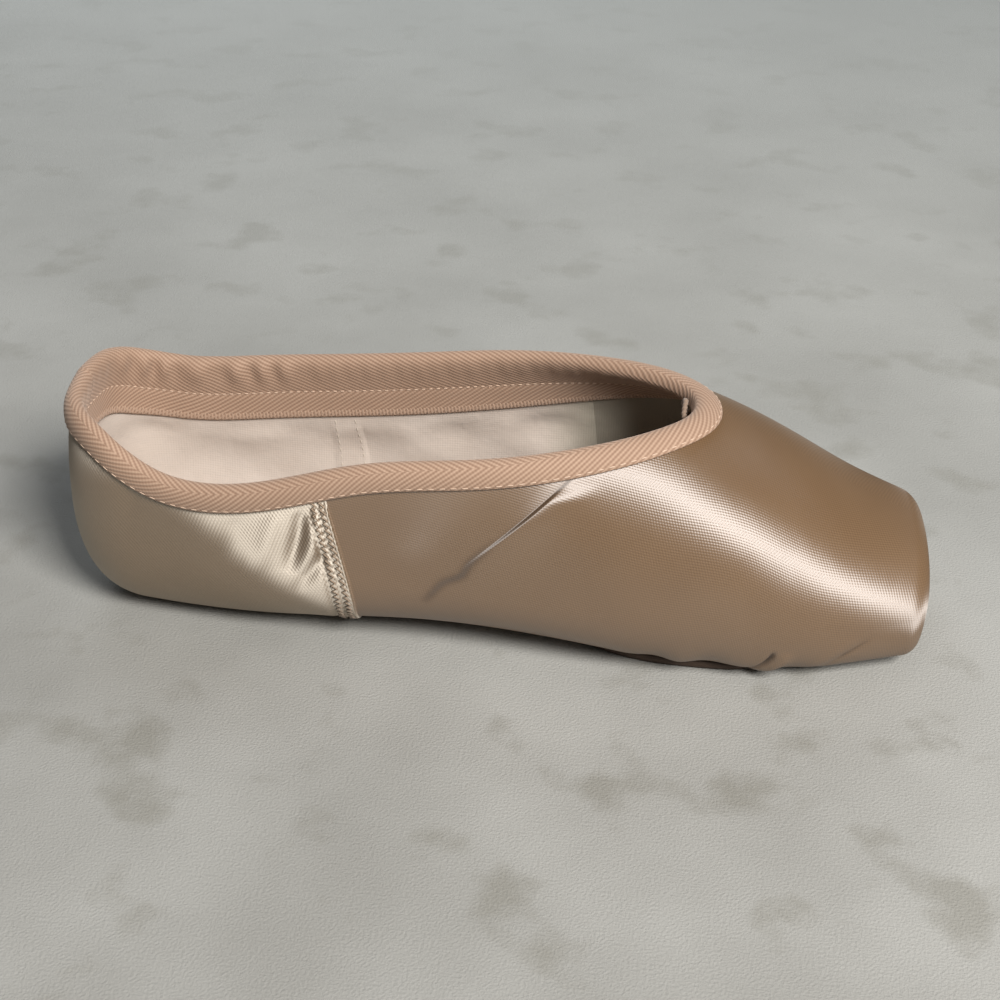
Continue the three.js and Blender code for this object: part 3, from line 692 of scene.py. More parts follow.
class Nodes:
    """Short ways to add nodes to one material or node group."""

    def __init__(self, tree):
        self.tree = tree

    def add(self, kind, **sockets):
        """A new node, with values or links on its named inputs."""
        made = self.tree.nodes.new(kind)
        for name, value in sockets.items():
            self.plug(made.inputs[name.replace("_", " ")], value)
        return made

    def plug(self, socket, value):
        """Links an input to an output, or sets it to a plain value."""
        if isinstance(value, bpy.types.NodeSocket):
            self.tree.links.new(value, socket)
        else:
            socket.default_value = value

    def sum(self, operation, *values, clamp=False):
        """One step of arithmetic."""
        made = self.tree.nodes.new("ShaderNodeMath")
        made.operation = operation
        made.use_clamp = clamp
        for socket, value in zip(made.inputs, values):
            self.plug(socket, value)
        return made.outputs[0]

    def mix(self, share, first, second):
        """A colour between two others."""
        made = self.tree.nodes.new("ShaderNodeMix")
        made.data_type = "RGBA"
        for number, value in ((0, share), (6, first), (7, second)):
            self.plug(made.inputs[number], value)
        return made.outputs[2]

    def uv(self):
        """Distances along and up the cloth."""
        made = self.tree.nodes.new("ShaderNodeUVMap")
        made.uv_map = "cloth"
        split = self.add("ShaderNodeSeparateXYZ", Vector=made.outputs[0])
        return split.outputs[0], split.outputs[1]

    def toe_face(self):
        """Distances across and up the flat of the toe, in the units of the UV map."""
        split = self.add("ShaderNodeSeparateXYZ", Vector=self.place())
        return [self.sum("MULTIPLY", split.outputs[axis], 1 / (UV_UNIT * MM)) for axis in (1, 2)]

    def place(self):
        """The object's own coordinates."""
        return self.add("ShaderNodeTexCoord").outputs["Object"]

    def stored(self, name):
        """A value that is stored on the points of the mesh."""
        made = self.tree.nodes.new("ShaderNodeAttribute")
        made.attribute_name = name
        return made

    def noise(self, scale, detail):
        """Soft random patches over the object."""
        made = self.add("ShaderNodeTexNoise", Scale=scale, Detail=detail, Vector=self.place())
        return made.outputs[0]

    def stripes(self, u, v, pitch, angle):
        """A wave from 0 to 1 across lines at this angle, with its pitch in millimetres."""
        turns = 2 * math.pi * UV_UNIT / pitch
        across = self.sum("MULTIPLY", u, turns * math.sin(angle))
        across = self.sum("MULTIPLY_ADD", v, turns * math.cos(angle), across)
        return self.sum("MULTIPLY_ADD", self.sum("SINE", across), 0.5, 0.5)

    def bump(self, height, depth, strength, onto=None):
        """Shading as if the surface had this height, with its depth in millimetres."""
        made = self.add("ShaderNodeBump", Height=height, Distance=depth * MM, Strength=strength)
        if onto is not None:
            self.plug(made.inputs["Normal"], onto)
        return made.outputs[0]


# %% Satin
SATIN_DARK, SATIN_LIGHT = (0.112, 0.061, 0.026), (0.235, 0.143, 0.074)
# A dark brown that paints shade into the creases.
CREASE_SHADE_BROWN = (0.012, 0.005, 0.002, 1)
SATIN_ROUGHNESS, CREASE_ROUGHNESS = 0.54, 0.4
CROSSING = math.radians(62)


def satin(name, thread_angle, pitch, rib_depth, cross, gloss, tint, dye_and_painted_shade, on_toe=False):
    """Glossy cloth, whose gloss is stretched and broken up by two sets of fine ribs."""
    finish, shader, nodes = new_finish(
        name, Anisotropic=0.93, IOR=2.9, Specular_IOR_Level=gloss, Specular_Tint=tint,
    )
    u, v = nodes.toe_face() if on_toe else nodes.uv()
    u = nodes.sum("MULTIPLY_ADD", nodes.noise(120, 2), 0.006, u)
    ribbing = nodes.stripes(u, v, pitch, thread_angle)
    crossing = nodes.stripes(u, v, 0.95 * pitch, thread_angle + CROSSING)
    weave = nodes.sum("MULTIPLY_ADD", crossing, cross, ribbing)
    shade = nodes.sum("MULTIPLY_ADD", nodes.noise(45, 3), 0.3, nodes.sum("MULTIPLY", weave, 0.42))
    # The dye value scales both tones; the heel panel's lower value is painted shade.
    dark, light = (tuple(dye_and_painted_shade * part for part in tone) + (1,) for tone in (SATIN_DARK, SATIN_LIGHT))
    colour = nodes.mix(shade, dark, light)
    crease_shade_mask = nodes.stored("crease_shade_mask").outputs["Fac"]
    rough = nodes.sum("MULTIPLY_ADD", crease_shade_mask, CREASE_ROUGHNESS, SATIN_ROUGHNESS)
    slack = nodes.bump(nodes.noise(120, 2), 0.2, 0.35)
    # The creases are painted dark brown, as shade, by the number stored on each point.
    nodes.plug(shader.inputs["Base Color"], nodes.mix(crease_shade_mask, colour, CREASE_SHADE_BROWN))
    nodes.plug(shader.inputs["Roughness"], rough)
    nodes.plug(shader.inputs["Normal"], nodes.bump(weave, rib_depth, 0.5, slack))
    nodes.plug(shader.inputs["Tangent"], nodes.stored("shine").outputs["Vector"])
    return finish


# The heel panel's colour is lowered more than the vamp's, as painted shade.
HEEL_CLOTH = {
    "thread_angle": math.radians(50), "pitch": 0.84, "rib_depth": 0.09, "cross": 0.3,
    "gloss": 0.74, "tint": (1.0, 0.95, 0.85, 1), "dye_and_painted_shade": 0.84,
}
VAMP_CLOTH = {
    "thread_angle": math.radians(12), "pitch": 0.66, "rib_depth": 0.03, "cross": 0.85,
    "gloss": 0.46, "tint": (0.99, 0.98, 0.99, 1), "dye_and_painted_shade": 0.97,
}
heel_satin = satin("satin_heel_panel", **HEEL_CLOTH)
vamp_satin = satin("satin_vamp", **VAMP_CLOTH)
platform_satin = satin("satin_platform", **VAMP_CLOTH, on_toe=True)

# %% Lining
LINING_PITCH = 0.7
TOE_LINING_START = 118

lining, shader, nodes = new_finish("cotton_lining", Roughness=0.92, Sheen_Weight=0.15)
u, v = nodes.uv()
warp = nodes.stripes(u, v, LINING_PITCH, 0)
weft = nodes.stripes(u, v, LINING_PITCH, QUARTER_TURN)
cloth = nodes.sum("MULTIPLY", nodes.sum("ADD", warp, weft), 0.5)
soiled = nodes.noise(60, 4)
colour = nodes.mix(soiled, (0.45, 0.38, 0.328, 1), (0.592, 0.528, 0.48, 1))
leaning = nodes.sum("MULTIPLY_ADD", v, 0.1, u)
stained = nodes.sum("MULTIPLY_ADD", leaning, 5.0, -5.1, clamp=True)
colour = nodes.mix(stained, colour, (0.43, 0.405, 0.33, 1))
toe_lining = nodes.sum("GREATER_THAN", leaning, TOE_LINING_START / UV_UNIT)
deep = nodes.sum("SUBTRACT", nodes.sum("MULTIPLY", u, 2.5), 3.5, clamp=True)
colour = nodes.mix(toe_lining, colour, nodes.mix(deep, (0.3, 0.275, 0.225, 1), (0.5, 0.29, 0.08, 1)))
nodes.plug(shader.inputs["Base Color"], colour)
creases = nodes.bump(nodes.noise(70, 4), 1.2, 0.8)
nodes.plug(shader.inputs["Normal"], nodes.bump(cloth, 0.08, 0.5, creases))

for finish in (heel_satin, vamp_satin, lining, platform_satin):
    upper.data.materials.append(finish)
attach(upper, "root")
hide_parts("upper")
print("finishes:", [slot.name for slot in upper.data.materials])

# %% [markdown]
# ## The collar binding
# A herringbone tape is folded over the collar, short outside and longer inside, as the casing of a
# drawstring. Its section is carried round the collar. Each leg is laid on the wall square to the edge,
# step by step, because a straight offset would leave the wall where the shoe curves. The tape's UV map
# counts the length along the collar and the way across the tape, so the ribs of the weave fan out round
# the throat as they do on the real tape.

# %% Stations round the collar
STATION_STEP = 0.5
STATION_BEND = 3.5


def collar_line(side):
    """The edge of the collar on one side, from the heel to the throat."""
    along_feet = feet[:throat_rib + 1]
    turn = tops[side][:throat_rib + 1]
    return rib_along(along_feet, turn), turn


def stations(side):
    """Ribs spaced evenly along the collar, and closer where it turns."""
    along, turn = collar_line(side)
    line = skin(along, turn, side)
    heading = unit(np.gradient(line, axis=0))
    bend = np.arccos(np.clip((heading[1:] * heading[:-1]).sum(1), -1, 1))
    reached = apart(line) + STATION_BEND * np.concatenate([[0], np.cumsum(bend)])
    wanted = np.linspace(0, reached[-1], round(reached[-1] / STATION_STEP) + 1)
    return np.interp(wanted, reached, feet[:throat_rib + 1])


right_feet = stations(RIGHT)
left_feet = stations(LEFT)[1:-1][::-1]
heel_station, throat_station = 0, len(right_feet) - 1
ring_feet = np.concatenate([right_feet, left_feet])
ring_side = np.concatenate([np.full(len(right_feet), RIGHT), np.full(len(left_feet), LEFT)])
ring_turn = np.concatenate([rib_top(right_feet, RIGHT), rib_top(left_feet, LEFT)])
ring_along = rib_along(ring_feet, ring_turn)
edge = skin(ring_along, ring_turn, ring_side)
edge_out = normal(ring_along, ring_turn, ring_side)
run = np.roll(edge, -1, axis=0) - np.roll(edge, 1, axis=0)
run[heel_station] = (0, -1, 0)
run[throat_station] = (0, 1, 0)
edge_down = unit(np.cross(unit(run), edge_out))
collar_length = apart(np.vstack([edge, edge[:1]]))
print("stations:", len(edge), "over", round(float(collar_length[-1])), "mm")

# %% Lay both legs of the tape on the wall
LEG_STEP = 0.5
INSIDE_LEG = 18.5

round_heel = np.minimum(collar_length[:-1], collar_length[-1] - collar_length[:-1])
hanging = (1 - ramp(round_heel, 12, 42))[:, None]
plumb = np.array([0, 0, -1]) + edge_out * edge_out[:, 2:]
leg_down = unit(edge_down * (1 - hanging) + unit(plumb) * hanging)
leg_stretch = 1 / (leg_down * edge_down).sum(1)


def lay_down(reach):
    """Walks from the edge down the skin at every station, and keeps each step."""
    along, turn = ring_along.copy(), ring_turn.copy()
    walked = [(along.copy(), turn.copy())]
    for _ in range(round(reach / LEG_STEP)):
        onward, upward = slopes(along, turn, ring_side, RIM)
        a = (onward * onward).sum(1)
        b = (onward * upward).sum(1)
        c = (upward * upward).sum(1)
        facing = unit(np.cross(onward, upward))
        flat = unit(leg_down - facing * (leg_down * facing).sum(1, keepdims=True))
        p = (flat * onward).sum(1)
        q = (flat * upward).sum(1)
        scale = LEG_STEP * leg_stretch / (a * c - b * b)
        along = np.maximum(along + (p * c - q * b) * scale, HEEL_BACK)
        turn = np.minimum(turn + (q * a - p * b) * scale, 3)
        along[heel_station] = HEEL_BACK
        turn[throat_station] = 3
        walked.append((along.copy(), turn.copy()))
    return np.array(walked)


walked = lay_down(INSIDE_LEG)


def on_leg(down, out, outside):
    """A point of the tape at every station: its way down from the edge, and its distance from the wall."""
    if down <= 0:
        stand_off = out if outside else -wall_at(ring_along) - out
        placed = edge + edge_down * down + edge_out * np.asarray(stand_off)[..., None]
    else:
        step = min(int(down / LEG_STEP), len(walked) - 2)
        share = down / LEG_STEP - step
        along, turn = walked[step] * (1 - share) + walked[step + 1] * share
        stand_off = out if outside else -wall_at(along) - out
        facing = normal(along, turn, ring_side)
        placed = skin(along, turn, ring_side) + facing * np.asarray(stand_off)[..., None]
    # Both sides meet at the middle of the heel, so the tape is drawn straight over the last stations there.
    for station, share in ((-1, 0.25), (heel_station, 0.5), (1, 0.75)):
        placed[station] = placed[-2] * (1 - share) + placed[2] * share
    return placed


# %% The section of the tape, carried round the collar
OUTER_PROFILE = [
    (5.8, 0.4), (5.95, 0.66), (5.75, 0.94), (5.2, 1.18), (4.4, 1.42), (3.4, 1.6), (2.4, 1.7), (1.4, 1.66),
    (0.5, 1.46), (-0.2, 1.14), (-0.8, 0.7), (-1.25, 0.08), (-1.42, -0.75),
]
INNER_SEAM = (9.8, 0.82)
INNER_FACE = [
    (-1.25, 0.08), (-0.8, 0.7), (-0.2, 1.14), (0.5, 1.42), (1.5, 1.6), (2.8, 1.64), (4.2, 1.55),
    (5.6, 1.38), (7.0, 1.2), (8.4, 1.06), (9.2, 0.94), INNER_SEAM, (10.4, 0.92), (11.5, 1.0),
    (13.0, 1.0), (14.5, 1.0), (16.0, 1.0), (17.2, 1.0),
]
INNER_BACK = [(18.1, 0.94), (18.45, 0.68), (18.4, 0.34), (14.0, 0.3), (9.5, 0.3), (4.0, 0.3), (-0.3, 0.3)]
RETURN_PROFILE = [(-0.3, 0.3), (1.5, 0.35), (3.0, 0.4), (4.5, 0.4)]

spots = [(down, out, True) for down, out in OUTER_PROFILE]
spots += [(down, out, False) for down, out in INNER_FACE + INNER_BACK]
spots += [(down, out, True) for down, out in RETURN_PROFILE]
flat_section = np.array([(out if outside else -WALL - out, -down) for down, out, outside in spots])
tape_across = apart(flat_section)
rings = np.stack([on_leg(*spot) for spot in spots], axis=1)

fold_at = tape_across[len(OUTER_PROFILE) - 1]
seam_at = tape_across[len(OUTER_PROFILE) + INNER_FACE.index(INNER_SEAM)]

# %% Gathers of the tape over the drawstring
GATHER_PITCH = 8.6
GATHER_DEPTH = 0.8

reached = collar_length[:-1]
far_heel = ramp(edge[:, 1], 8, 22) * (1 - ramp(edge[:, 0], -74, -48))
ripple = np.sin(reached * 2 * math.pi / GATHER_PITCH + 1.2 * np.sin(reached * 0.21))
ripple = 0.8 * ripple * far_heel + 0.1 * np.sin(reached * 0.47) + 0.07 * np.sin(reached * 1.31)
gathered = hump(tape_across - (fold_at + seam_at) / 2 + 1, 3.4)
visible = np.arange(len(spots)) < len(OUTER_PROFILE + INNER_FACE)
rings = rings - edge_out[:, None] * (ripple[:, None] * gathered * visible)[..., None] * GATHER_DEPTH

index = np.arange(rings.shape[0] * rings.shape[1]).reshape(rings.shape[:2])
closed = np.concatenate([index, index[:1]])
closed = np.concatenate([closed, closed[:, :1]], axis=1)
tape_uv = np.stack(np.broadcast_arrays(reached[:, None], tape_across[None]), axis=-1).reshape(-1, 2)
binding = mesh_object("herringbone_binding", rings.reshape(-1, 3), grid_faces(closed, False), tape_uv)
print("binding:", len(binding.data.polygons), "faces")
print("across the tape: fold at", round(float(fold_at), 1), "mm, seam at", round(float(seam_at), 1), "mm")

# %% [markdown]
# Herringbone is twill that changes its slant. The ribs are a wave over the tape's UV map, and the slant
# is flipped where the tape is folded over its edge and again at the line where it is sewn. On the side
# towards the camera the first flip lies lower, on the face of the tape, and shows as a row of chevrons. A
# finer wave along each rib gives the yarns. The same waves drive the bump and the colour, in which the
# grooves are painted darker as shade.

# %% Herringbone tape
RIB_PITCH = 1.04
RIB_SLANT = math.radians(32)
YARN_PITCH = 0.8
CHEVRON_FROM_FOLD, CHEVRON_DROP = 1.2, 2.1

tape, shader, nodes = new_finish(
    "herringbone_tape", Roughness=0.78, Sheen_Weight=0.25, Sheen_Tint=(1.0, 0.84, 0.74, 1),
)
u, v = nodes.uv()
u = nodes.sum("MULTIPLY_ADD", nodes.noise(160, 2), 0.004, u)
round_collar = nodes.sum("MULTIPLY", u, 2 * math.pi * UV_UNIT / float(collar_length[-1]))
near_side = nodes.sum("MAXIMUM", nodes.sum("SINE", round_collar), 0.0)
chevron_at = (fold_at - CHEVRON_FROM_FOLD) / UV_UNIT
turning = nodes.sum("MULTIPLY_ADD", near_side, -CHEVRON_DROP / UV_UNIT, chevron_at)
outside_zone = nodes.sum("LESS_THAN", v, turning)
low_zone = nodes.sum("GREATER_THAN", v, seam_at / UV_UNIT)
flipped = nodes.sum("ADD", outside_zone, low_zone)
slant = nodes.sum("MULTIPLY_ADD", flipped, -2.0, 1.0)
slanted = nodes.sum("MULTIPLY", v, slant)
rib = nodes.stripes(u, slanted, RIB_PITCH, RIB_SLANT)
yarn = nodes.stripes(u, slanted, YARN_PITCH, RIB_SLANT + QUARTER_TURN)
height = nodes.sum("MULTIPLY_ADD", yarn, 0.22, rib)
tone = nodes.mix(nodes.noise(70, 3), (0.425, 0.288, 0.204, 1), (0.53, 0.372, 0.276, 1))
# The grooves between the ribs are painted darker, as shade.
colour = nodes.mix(nodes.sum("MULTIPLY", height, 0.82, clamp=True), (0.272, 0.164, 0.11, 1), tone)
nodes.plug(shader.inputs["Base Color"], colour)
nodes.plug(shader.inputs["Normal"], nodes.bump(height, 0.14, 0.55))
binding.data.materials.append(tape)
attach(binding, "root")
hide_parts("collar_binding")

# %% [markdown]
# ## Stitches
# A stitch is a short bead of thread, and a seam is hundreds of them along a line. Geometry Nodes suit
# this: the line is cut at an even pitch, one bead is set on each cut and turned along the line and square
# to the cloth, and the instances are made real. The sizes are inputs of the node group, so one group sews
# the tape, its selvage and the lining.

# %% The first and last nodes of a group
def new_group(name, inputs):
    """A node group that takes a path and named inputs: the group, its sockets, and helpers to fill it."""
    group = bpy.data.node_groups.new(name, "GeometryNodeTree")
    group.is_modifier = True
    group.interface.new_socket("Path", in_out="INPUT", socket_type="NodeSocketGeometry")
    sockets = {
        title: group.interface.new_socket(title, in_out="INPUT", socket_type=kind)
        for title, kind in inputs.items()
    }
    group.interface.new_socket("Threads", in_out="OUTPUT", socket_type="NodeSocketGeometry")
    nodes = Nodes(group)
    given = nodes.add("NodeGroupInput").outputs
    path = nodes.add("GeometryNodeMeshToCurve", Mesh=given["Path"]).outputs[0]
    return group, sockets, nodes, given, path


def hand_out(nodes, geometry, thread):
    """Ends a group: instances made real, shaded smooth and given their thread."""
    real = nodes.add("GeometryNodeRealizeInstances", Geometry=geometry)
    smooth = nodes.add("GeometryNodeSetShadeSmooth", Geometry=real.outputs[0])
    coloured = nodes.add("GeometryNodeSetMaterial", Geometry=smooth.outputs[0], Material=thread)
    nodes.plug(nodes.add("NodeGroupOutput").inputs[0], coloured.outputs[0])


# %% A node group that sews
sewing, sew_inputs, nodes, given, path = new_group("sew_along_path", {
    "Pitch": "NodeSocketFloat",
    "Bead size": "NodeSocketVector",
    "Thread": "NodeSocketMaterial",
})
cut = nodes.add("GeometryNodeResampleCurve", Curve=path)
cut.mode = "LENGTH"
nodes.plug(cut.inputs["Length"], given["Pitch"])
tangent = nodes.add("GeometryNodeInputTangent")
lengthwise = nodes.add("FunctionNodeAlignRotationToVector", Vector=tangent.outputs[0])
lengthwise.axis = "X"
facing = nodes.add("GeometryNodeInputNamedAttribute", Name="facing")
facing.data_type = "FLOAT_VECTOR"
upright = nodes.add(
    "FunctionNodeAlignRotationToVector",
    Rotation=lengthwise.outputs[0], Vector=facing.outputs["Attribute"],
)
upright.axis = "Z"
upright.pivot_axis = "X"
bead = nodes.add("GeometryNodeMeshUVSphere", Segments=8, Rings=6, Radius=0.5)
sized = nodes.add("GeometryNodeTransform", Geometry=bead.outputs[0], Scale=given["Bead size"])
sewn = nodes.add(
    "GeometryNodeInstanceOnPoints",
    Points=cut.outputs[0], Instance=sized.outputs[0], Rotation=upright.outputs[0],
)
hand_out(nodes, sewn.outputs[0], given["Thread"])


# %% Sew a line
def path_object(name, points, facing, closed=False):
    """A line of points in millimetres, each with the way its cloth faces."""
    mesh = bpy.data.meshes.new(name)
    edges = [(i, i + 1) for i in range(len(points) - 1)]
    if closed:
        edges.append((len(points) - 1, 0))
    mesh.from_pydata((np.asarray(points) * MM).tolist(), edges, [])
    layer = mesh.attributes.new("facing", "FLOAT_VECTOR", "POINT")
    layer.data.foreach_set("vector", np.asarray(facing, np.float32).ravel())
    made = bpy.data.objects.new(name, mesh)
    bpy.context.scene.collection.objects.link(made)
    return made


def grown(source, group, values):
    """Runs a node group on an object and returns the plain mesh it gives."""
    modifier = source.modifiers.new("grow", "NODES")
    modifier.node_group = group
    for socket, value in values:
        modifier[socket.identifier] = value
    settled = source.evaluated_get(bpy.context.evaluated_depsgraph_get())
    mesh = bpy.data.meshes.new_from_object(settled)
    bare = source.data
    source.modifiers.clear()
    bpy.data.objects.remove(source)
    bpy.data.meshes.remove(bare)
    return mesh


def joined(name, meshes, thread):
    """One object from several meshes of the same thread."""
    whole = bmesh.new()
    for mesh in meshes:
        whole.from_mesh(mesh)
    made = bpy.data.objects.new(name, bpy.data.meshes.new(name))
    whole.to_mesh(made.data)
    whole.free()
    made.data.materials.append(thread)
    bpy.context.scene.collection.objects.link(made)
    print(name + ":", len(made.data.polygons), "faces")
    return made


def sew(name, lines, pitch, bead_size, thread):
    """Sews one or more lines of (points, facing, closed) into one piece."""
    values = [
        (sew_inputs["Pitch"], pitch * MM),
        (sew_inputs["Bead size"], [size * MM for size in bead_size]),
        (sew_inputs["Thread"], thread),
    ]
    meshes = [grown(path_object(name + "_path", *line), sewing, values) for line in lines]
    made = joined(name, meshes, thread)
    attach(made, "root")


def thread_finish(name, colour):
    """Thread, a little darker in places."""
    finish, shader, nodes = new_finish(name, Roughness=0.5, Sheen_Weight=0.2)
    tone = nodes.mix(nodes.noise(900, 2), tuple(0.7 * c for c in colour) + (1,), colour + (1,))
    nodes.plug(shader.inputs["Base Color"], tone)
    return finish


peach_thread = thread_finish("peach_thread", (0.74, 0.55, 0.42))
cream_thread = thread_finish("cream_thread", (0.62, 0.55, 0.47))
selvage_yarn = thread_finish("selvage_yarn", (0.52, 0.36, 0.265))
satin_thread = thread_finish("satin_thread", (0.42, 0.31, 0.22))

# %% Seams of the tape and the ladder of its selvage
def tape_line(down, out, outside, lift):
    """A closed line round the tape, lifted off it, and the way the tape faces."""
    line = on_leg(down, out + lift, outside)
    step = on_leg(down, out + lift + 0.5, outside)
    return line, unit(step - line), True


outer_line = tape_line(5.25, 1.16, True, 0.02)
inner_line = tape_line(*INNER_SEAM, False, 0.06)
selvage_line = tape_line(17.1, 1.0, False, 0.0)
sew("tape_stitches_outside", [outer_line], 2.8, (1.7, 0.3, 0.22), peach_thread)
sew("tape_stitches_inside", [inner_line], 2.1, (1.2, 0.36, 0.28), peach_thread)
sew("tape_selvage", [selvage_line], 0.98, (0.66, 2.2, 0.16), selvage_yarn)

# %% [markdown]
# ## The side seam
# The heel panel is sewn over the vamp with two rows of zigzag. A zigzag is one thread that swings from
# side to side, so here a second node group turns a bent line into a thin tube. The lining has a plain
# seam behind it: a flat tape between two rows of stitches.

# %% A node group that spins a thread
spinning, spin_inputs, nodes, given, path = new_group("spin_thread", {
    "Thickness": "NodeSocketFloat",
    "Thread": "NodeSocketMaterial",
})
half = nodes.sum("MULTIPLY", given["Thickness"], 0.5)
outline = nodes.add("GeometryNodeCurvePrimitiveCircle", Resolution=6, Radius=half)
tube = nodes.add(
    "GeometryNodeCurveToMesh", Curve=path, Profile_Curve=outline.outputs[0], Fill_Caps=True,
)
hand_out(nodes, tube.outputs[0], given["Thread"])

# %% Zigzag over the side seam
ZIGZAG_STEP = 0.95
ZIGZAG_ROWS = [(0.9, 2.3), (3.5, 4.9)]
ZIGZAG_THREAD, ZIGZAG_LIFT = 0.5, 0.1
ZIGZAG_FOOT, ZIGZAG_BELOW_EDGE = 1.03, 5.2
RIB_SAMPLES, EDGE_SAMPLES = 200, 300


def even_turns(foot, side, low, high, step, place):
    """Turns up a rib that lie an even distance apart."""
    turns = np.linspace(low, high, RIB_SAMPLES)
    reached = apart(place(np.full(RIB_SAMPLES, foot), turns, side)[0])
    return np.interp(np.arange(0, reached[-1], step), reached, turns)


def turn_below_edge(foot, side, drop):
    """The turn on a rib that lies this far below the collar."""
    turns = np.linspace(1, float(rib_top(np.array([foot]), side)[0]), EDGE_SAMPLES)
    reached = apart(skin(rib_along(np.full(EDGE_SAMPLES, foot), turns), turns, side))
    return float(np.interp(reached[-1] - drop, reached, turns))


spin_values = [(spin_inputs["Thickness"], ZIGZAG_THREAD * MM), (spin_inputs["Thread"], satin_thread)]
zigzags = []
for side in (RIGHT, LEFT):
    for near, far in ZIGZAG_ROWS:
        foot = SEAM - (near + far) / 2
        top = turn_below_edge(foot, side, ZIGZAG_BELOW_EDGE)
        turns = even_turns(foot, side, ZIGZAG_FOOT, top, ZIGZAG_STEP, satin_point)
        swing = np.where(np.arange(len(turns)) % 2, SEAM - near, SEAM - far)
        points, facing = satin_point(swing, turns, side)
        source = path_object("zigzag_path", points + facing * ZIGZAG_LIFT, facing)
        zigzags.append(grown(source, spinning, spin_values))
seam_zigzag = joined("seam_zigzag", zigzags, satin_thread)
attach(seam_zigzag, "root")

# %% Seam of the lining
LINING_SEAM_FOOT, LINING_SEAM_BELOW_EDGE, LINING_SEAM_STEP = 1.2, 18.0, 0.6

lining_lines = []
for side in (RIGHT, LEFT):
    for foot in LINING_SEAM:
        top = turn_below_edge(foot, side, LINING_SEAM_BELOW_EDGE)
        turns = even_turns(foot, side, LINING_SEAM_FOOT, top, LINING_SEAM_STEP, lining_point)
        points, facing = lining_point(np.full(len(turns), foot), turns, side)
        lining_lines.append((points + facing * 0.05, facing, False))
sew("lining_stitches", lining_lines, 2.2, (1.5, 0.36, 0.26), cream_thread)

# %% [markdown]
# ## The sole and the sock
# The sole is one thin piece of brown leather with a narrow waist. It touches the floor under the heel and
# the ball, and the arch between them is a little clear. The sock lies inside on the turned-under edge of
# the upper. Both are plates: rows of points across the shoe, on a top and a bottom face, with a rounded
# rim.

# %% Plates with a rounded rim
GAP = 0.3
PLATE_COLUMNS, SOLE_ROWS, SOCK_ROWS = 33, 150, 130
SOLE_BACK, SOLE_TIP = -100.5, 82.0
HEEL_BREAST, BALL_BACK, BALL_FRONT = -57.0, 46.0, 68.0
ARCH_RISE, TIP_RISE = 2.2, 0.35
SOLE_HEEL_ROUND, SOLE_TIP_ROUND = 13, 20
SOLE_BEVEL = 0.7
SOLE_WIDTHS = np.array([
    (SOLE_BACK, 12.4), (-85, 13.8), (HEEL_BREAST, 15.0), (-17, 12.6), (14, 17.4),
    (36, 25.7), (54, 28.0), (BALL_FRONT, 27.4), (SOLE_TIP, 24.0),
], dtype=[("at", float), ("half", float)])
sole_width = smooth_curve(SOLE_WIDTHS["at"], SOLE_WIDTHS["half"])


def plan_along(x, y):
    """How far along the last a place on the floor lies. Behind the heel's axis it fans."""
    fan = -FAN_RADIUS * np.arctan2(np.maximum(HEEL_AXIS - x, 0), np.abs(y) + 1e-9)
    return np.where(x >= HEEL_AXIS, x - HEEL_AXIS, fan)


def end_round(x, back, tip, heel_round, tip_round):
    """The share of its width that a plate keeps near its two round ends."""
    heel = np.clip((back + heel_round - x) / heel_round, 0, 1)
    toe = np.clip((x - tip + tip_round) / tip_round, 0, 1)
    return np.sqrt(np.maximum(1 - heel ** 2, 0)) * (1 - toe ** 2.4) ** (1 / 2.4)


def spread(back, tip, count):
    """Stations from back to tip, closer together near both ends."""
    t = np.linspace(0, 1, count + 1)
    return back + (tip - back) * (t - 0.86 * np.sin(2 * math.pi * t) / (2 * math.pi))


def plate(name, stations, half, top, bottom, rim):
    """A plate from its stations, its half widths and its two faces, each a function of x and y."""
    across = np.linspace(-1, 1, PLATE_COLUMNS)
    across = np.sign(across) * np.abs(across) ** 0.8
    x = stations[:, None] + 0 * across
    y = half[:, None] * across
    inset = np.clip(half - rim, 0.2, None)[:, None] * across
    high = np.stack([x, y, top(x, y)], axis=-1)
    low = np.stack([x, inset, bottom(x, inset)], axis=-1)
    walls = []
    for edge in (0, -1):
        height = high[:, edge, 2] * 0.45 + low[:, edge, 2] * 0.55
        walls.append(np.stack([stations, half * across[edge] * 1.004, height], axis=-1)[:, None])
    loop = np.concatenate([high, walls[1], low[:, ::-1], walls[0]], axis=1)
    index = np.arange(loop.shape[0] * loop.shape[1]).reshape(loop.shape[:2])
    faces = grid_faces(np.concatenate([index, index[:, :1]], axis=1), False).tolist()
    faces += [index[0][::-1].tolist(), index[-1].tolist()]
    return mesh_object(name, loop.reshape(-1, 3), faces, outward=True)


# %% Leather sole
def sole_bottom(x, y):
    """Height of the lower face, which rises at the arch and the tip."""
    arch = np.clip((x - HEEL_BREAST) / (BALL_BACK - HEEL_BREAST), 0, 1)
    tip = np.clip((x - BALL_FRONT) / (SOLE_TIP - BALL_FRONT), 0, 1)
    return ARCH_RISE * np.sin(math.pi * arch) ** 2 + TIP_RISE * tip ** 2 + 0 * y


def sole_top(x, y):
    """Height of the upper face, just under the upper."""
    return under_at(plan_along(x, y)) - GAP


sole_stations = spread(SOLE_BACK + 0.05, SOLE_TIP - 0.05, SOLE_ROWS)
sole_ends = end_round(sole_stations, SOLE_BACK, SOLE_TIP, SOLE_HEEL_ROUND, SOLE_TIP_ROUND)
sole_half = np.maximum(sole_width(sole_stations) * sole_ends, 0.9)
sole = plate("leather_sole", sole_stations, sole_half, sole_top, sole_bottom, SOLE_BEVEL)

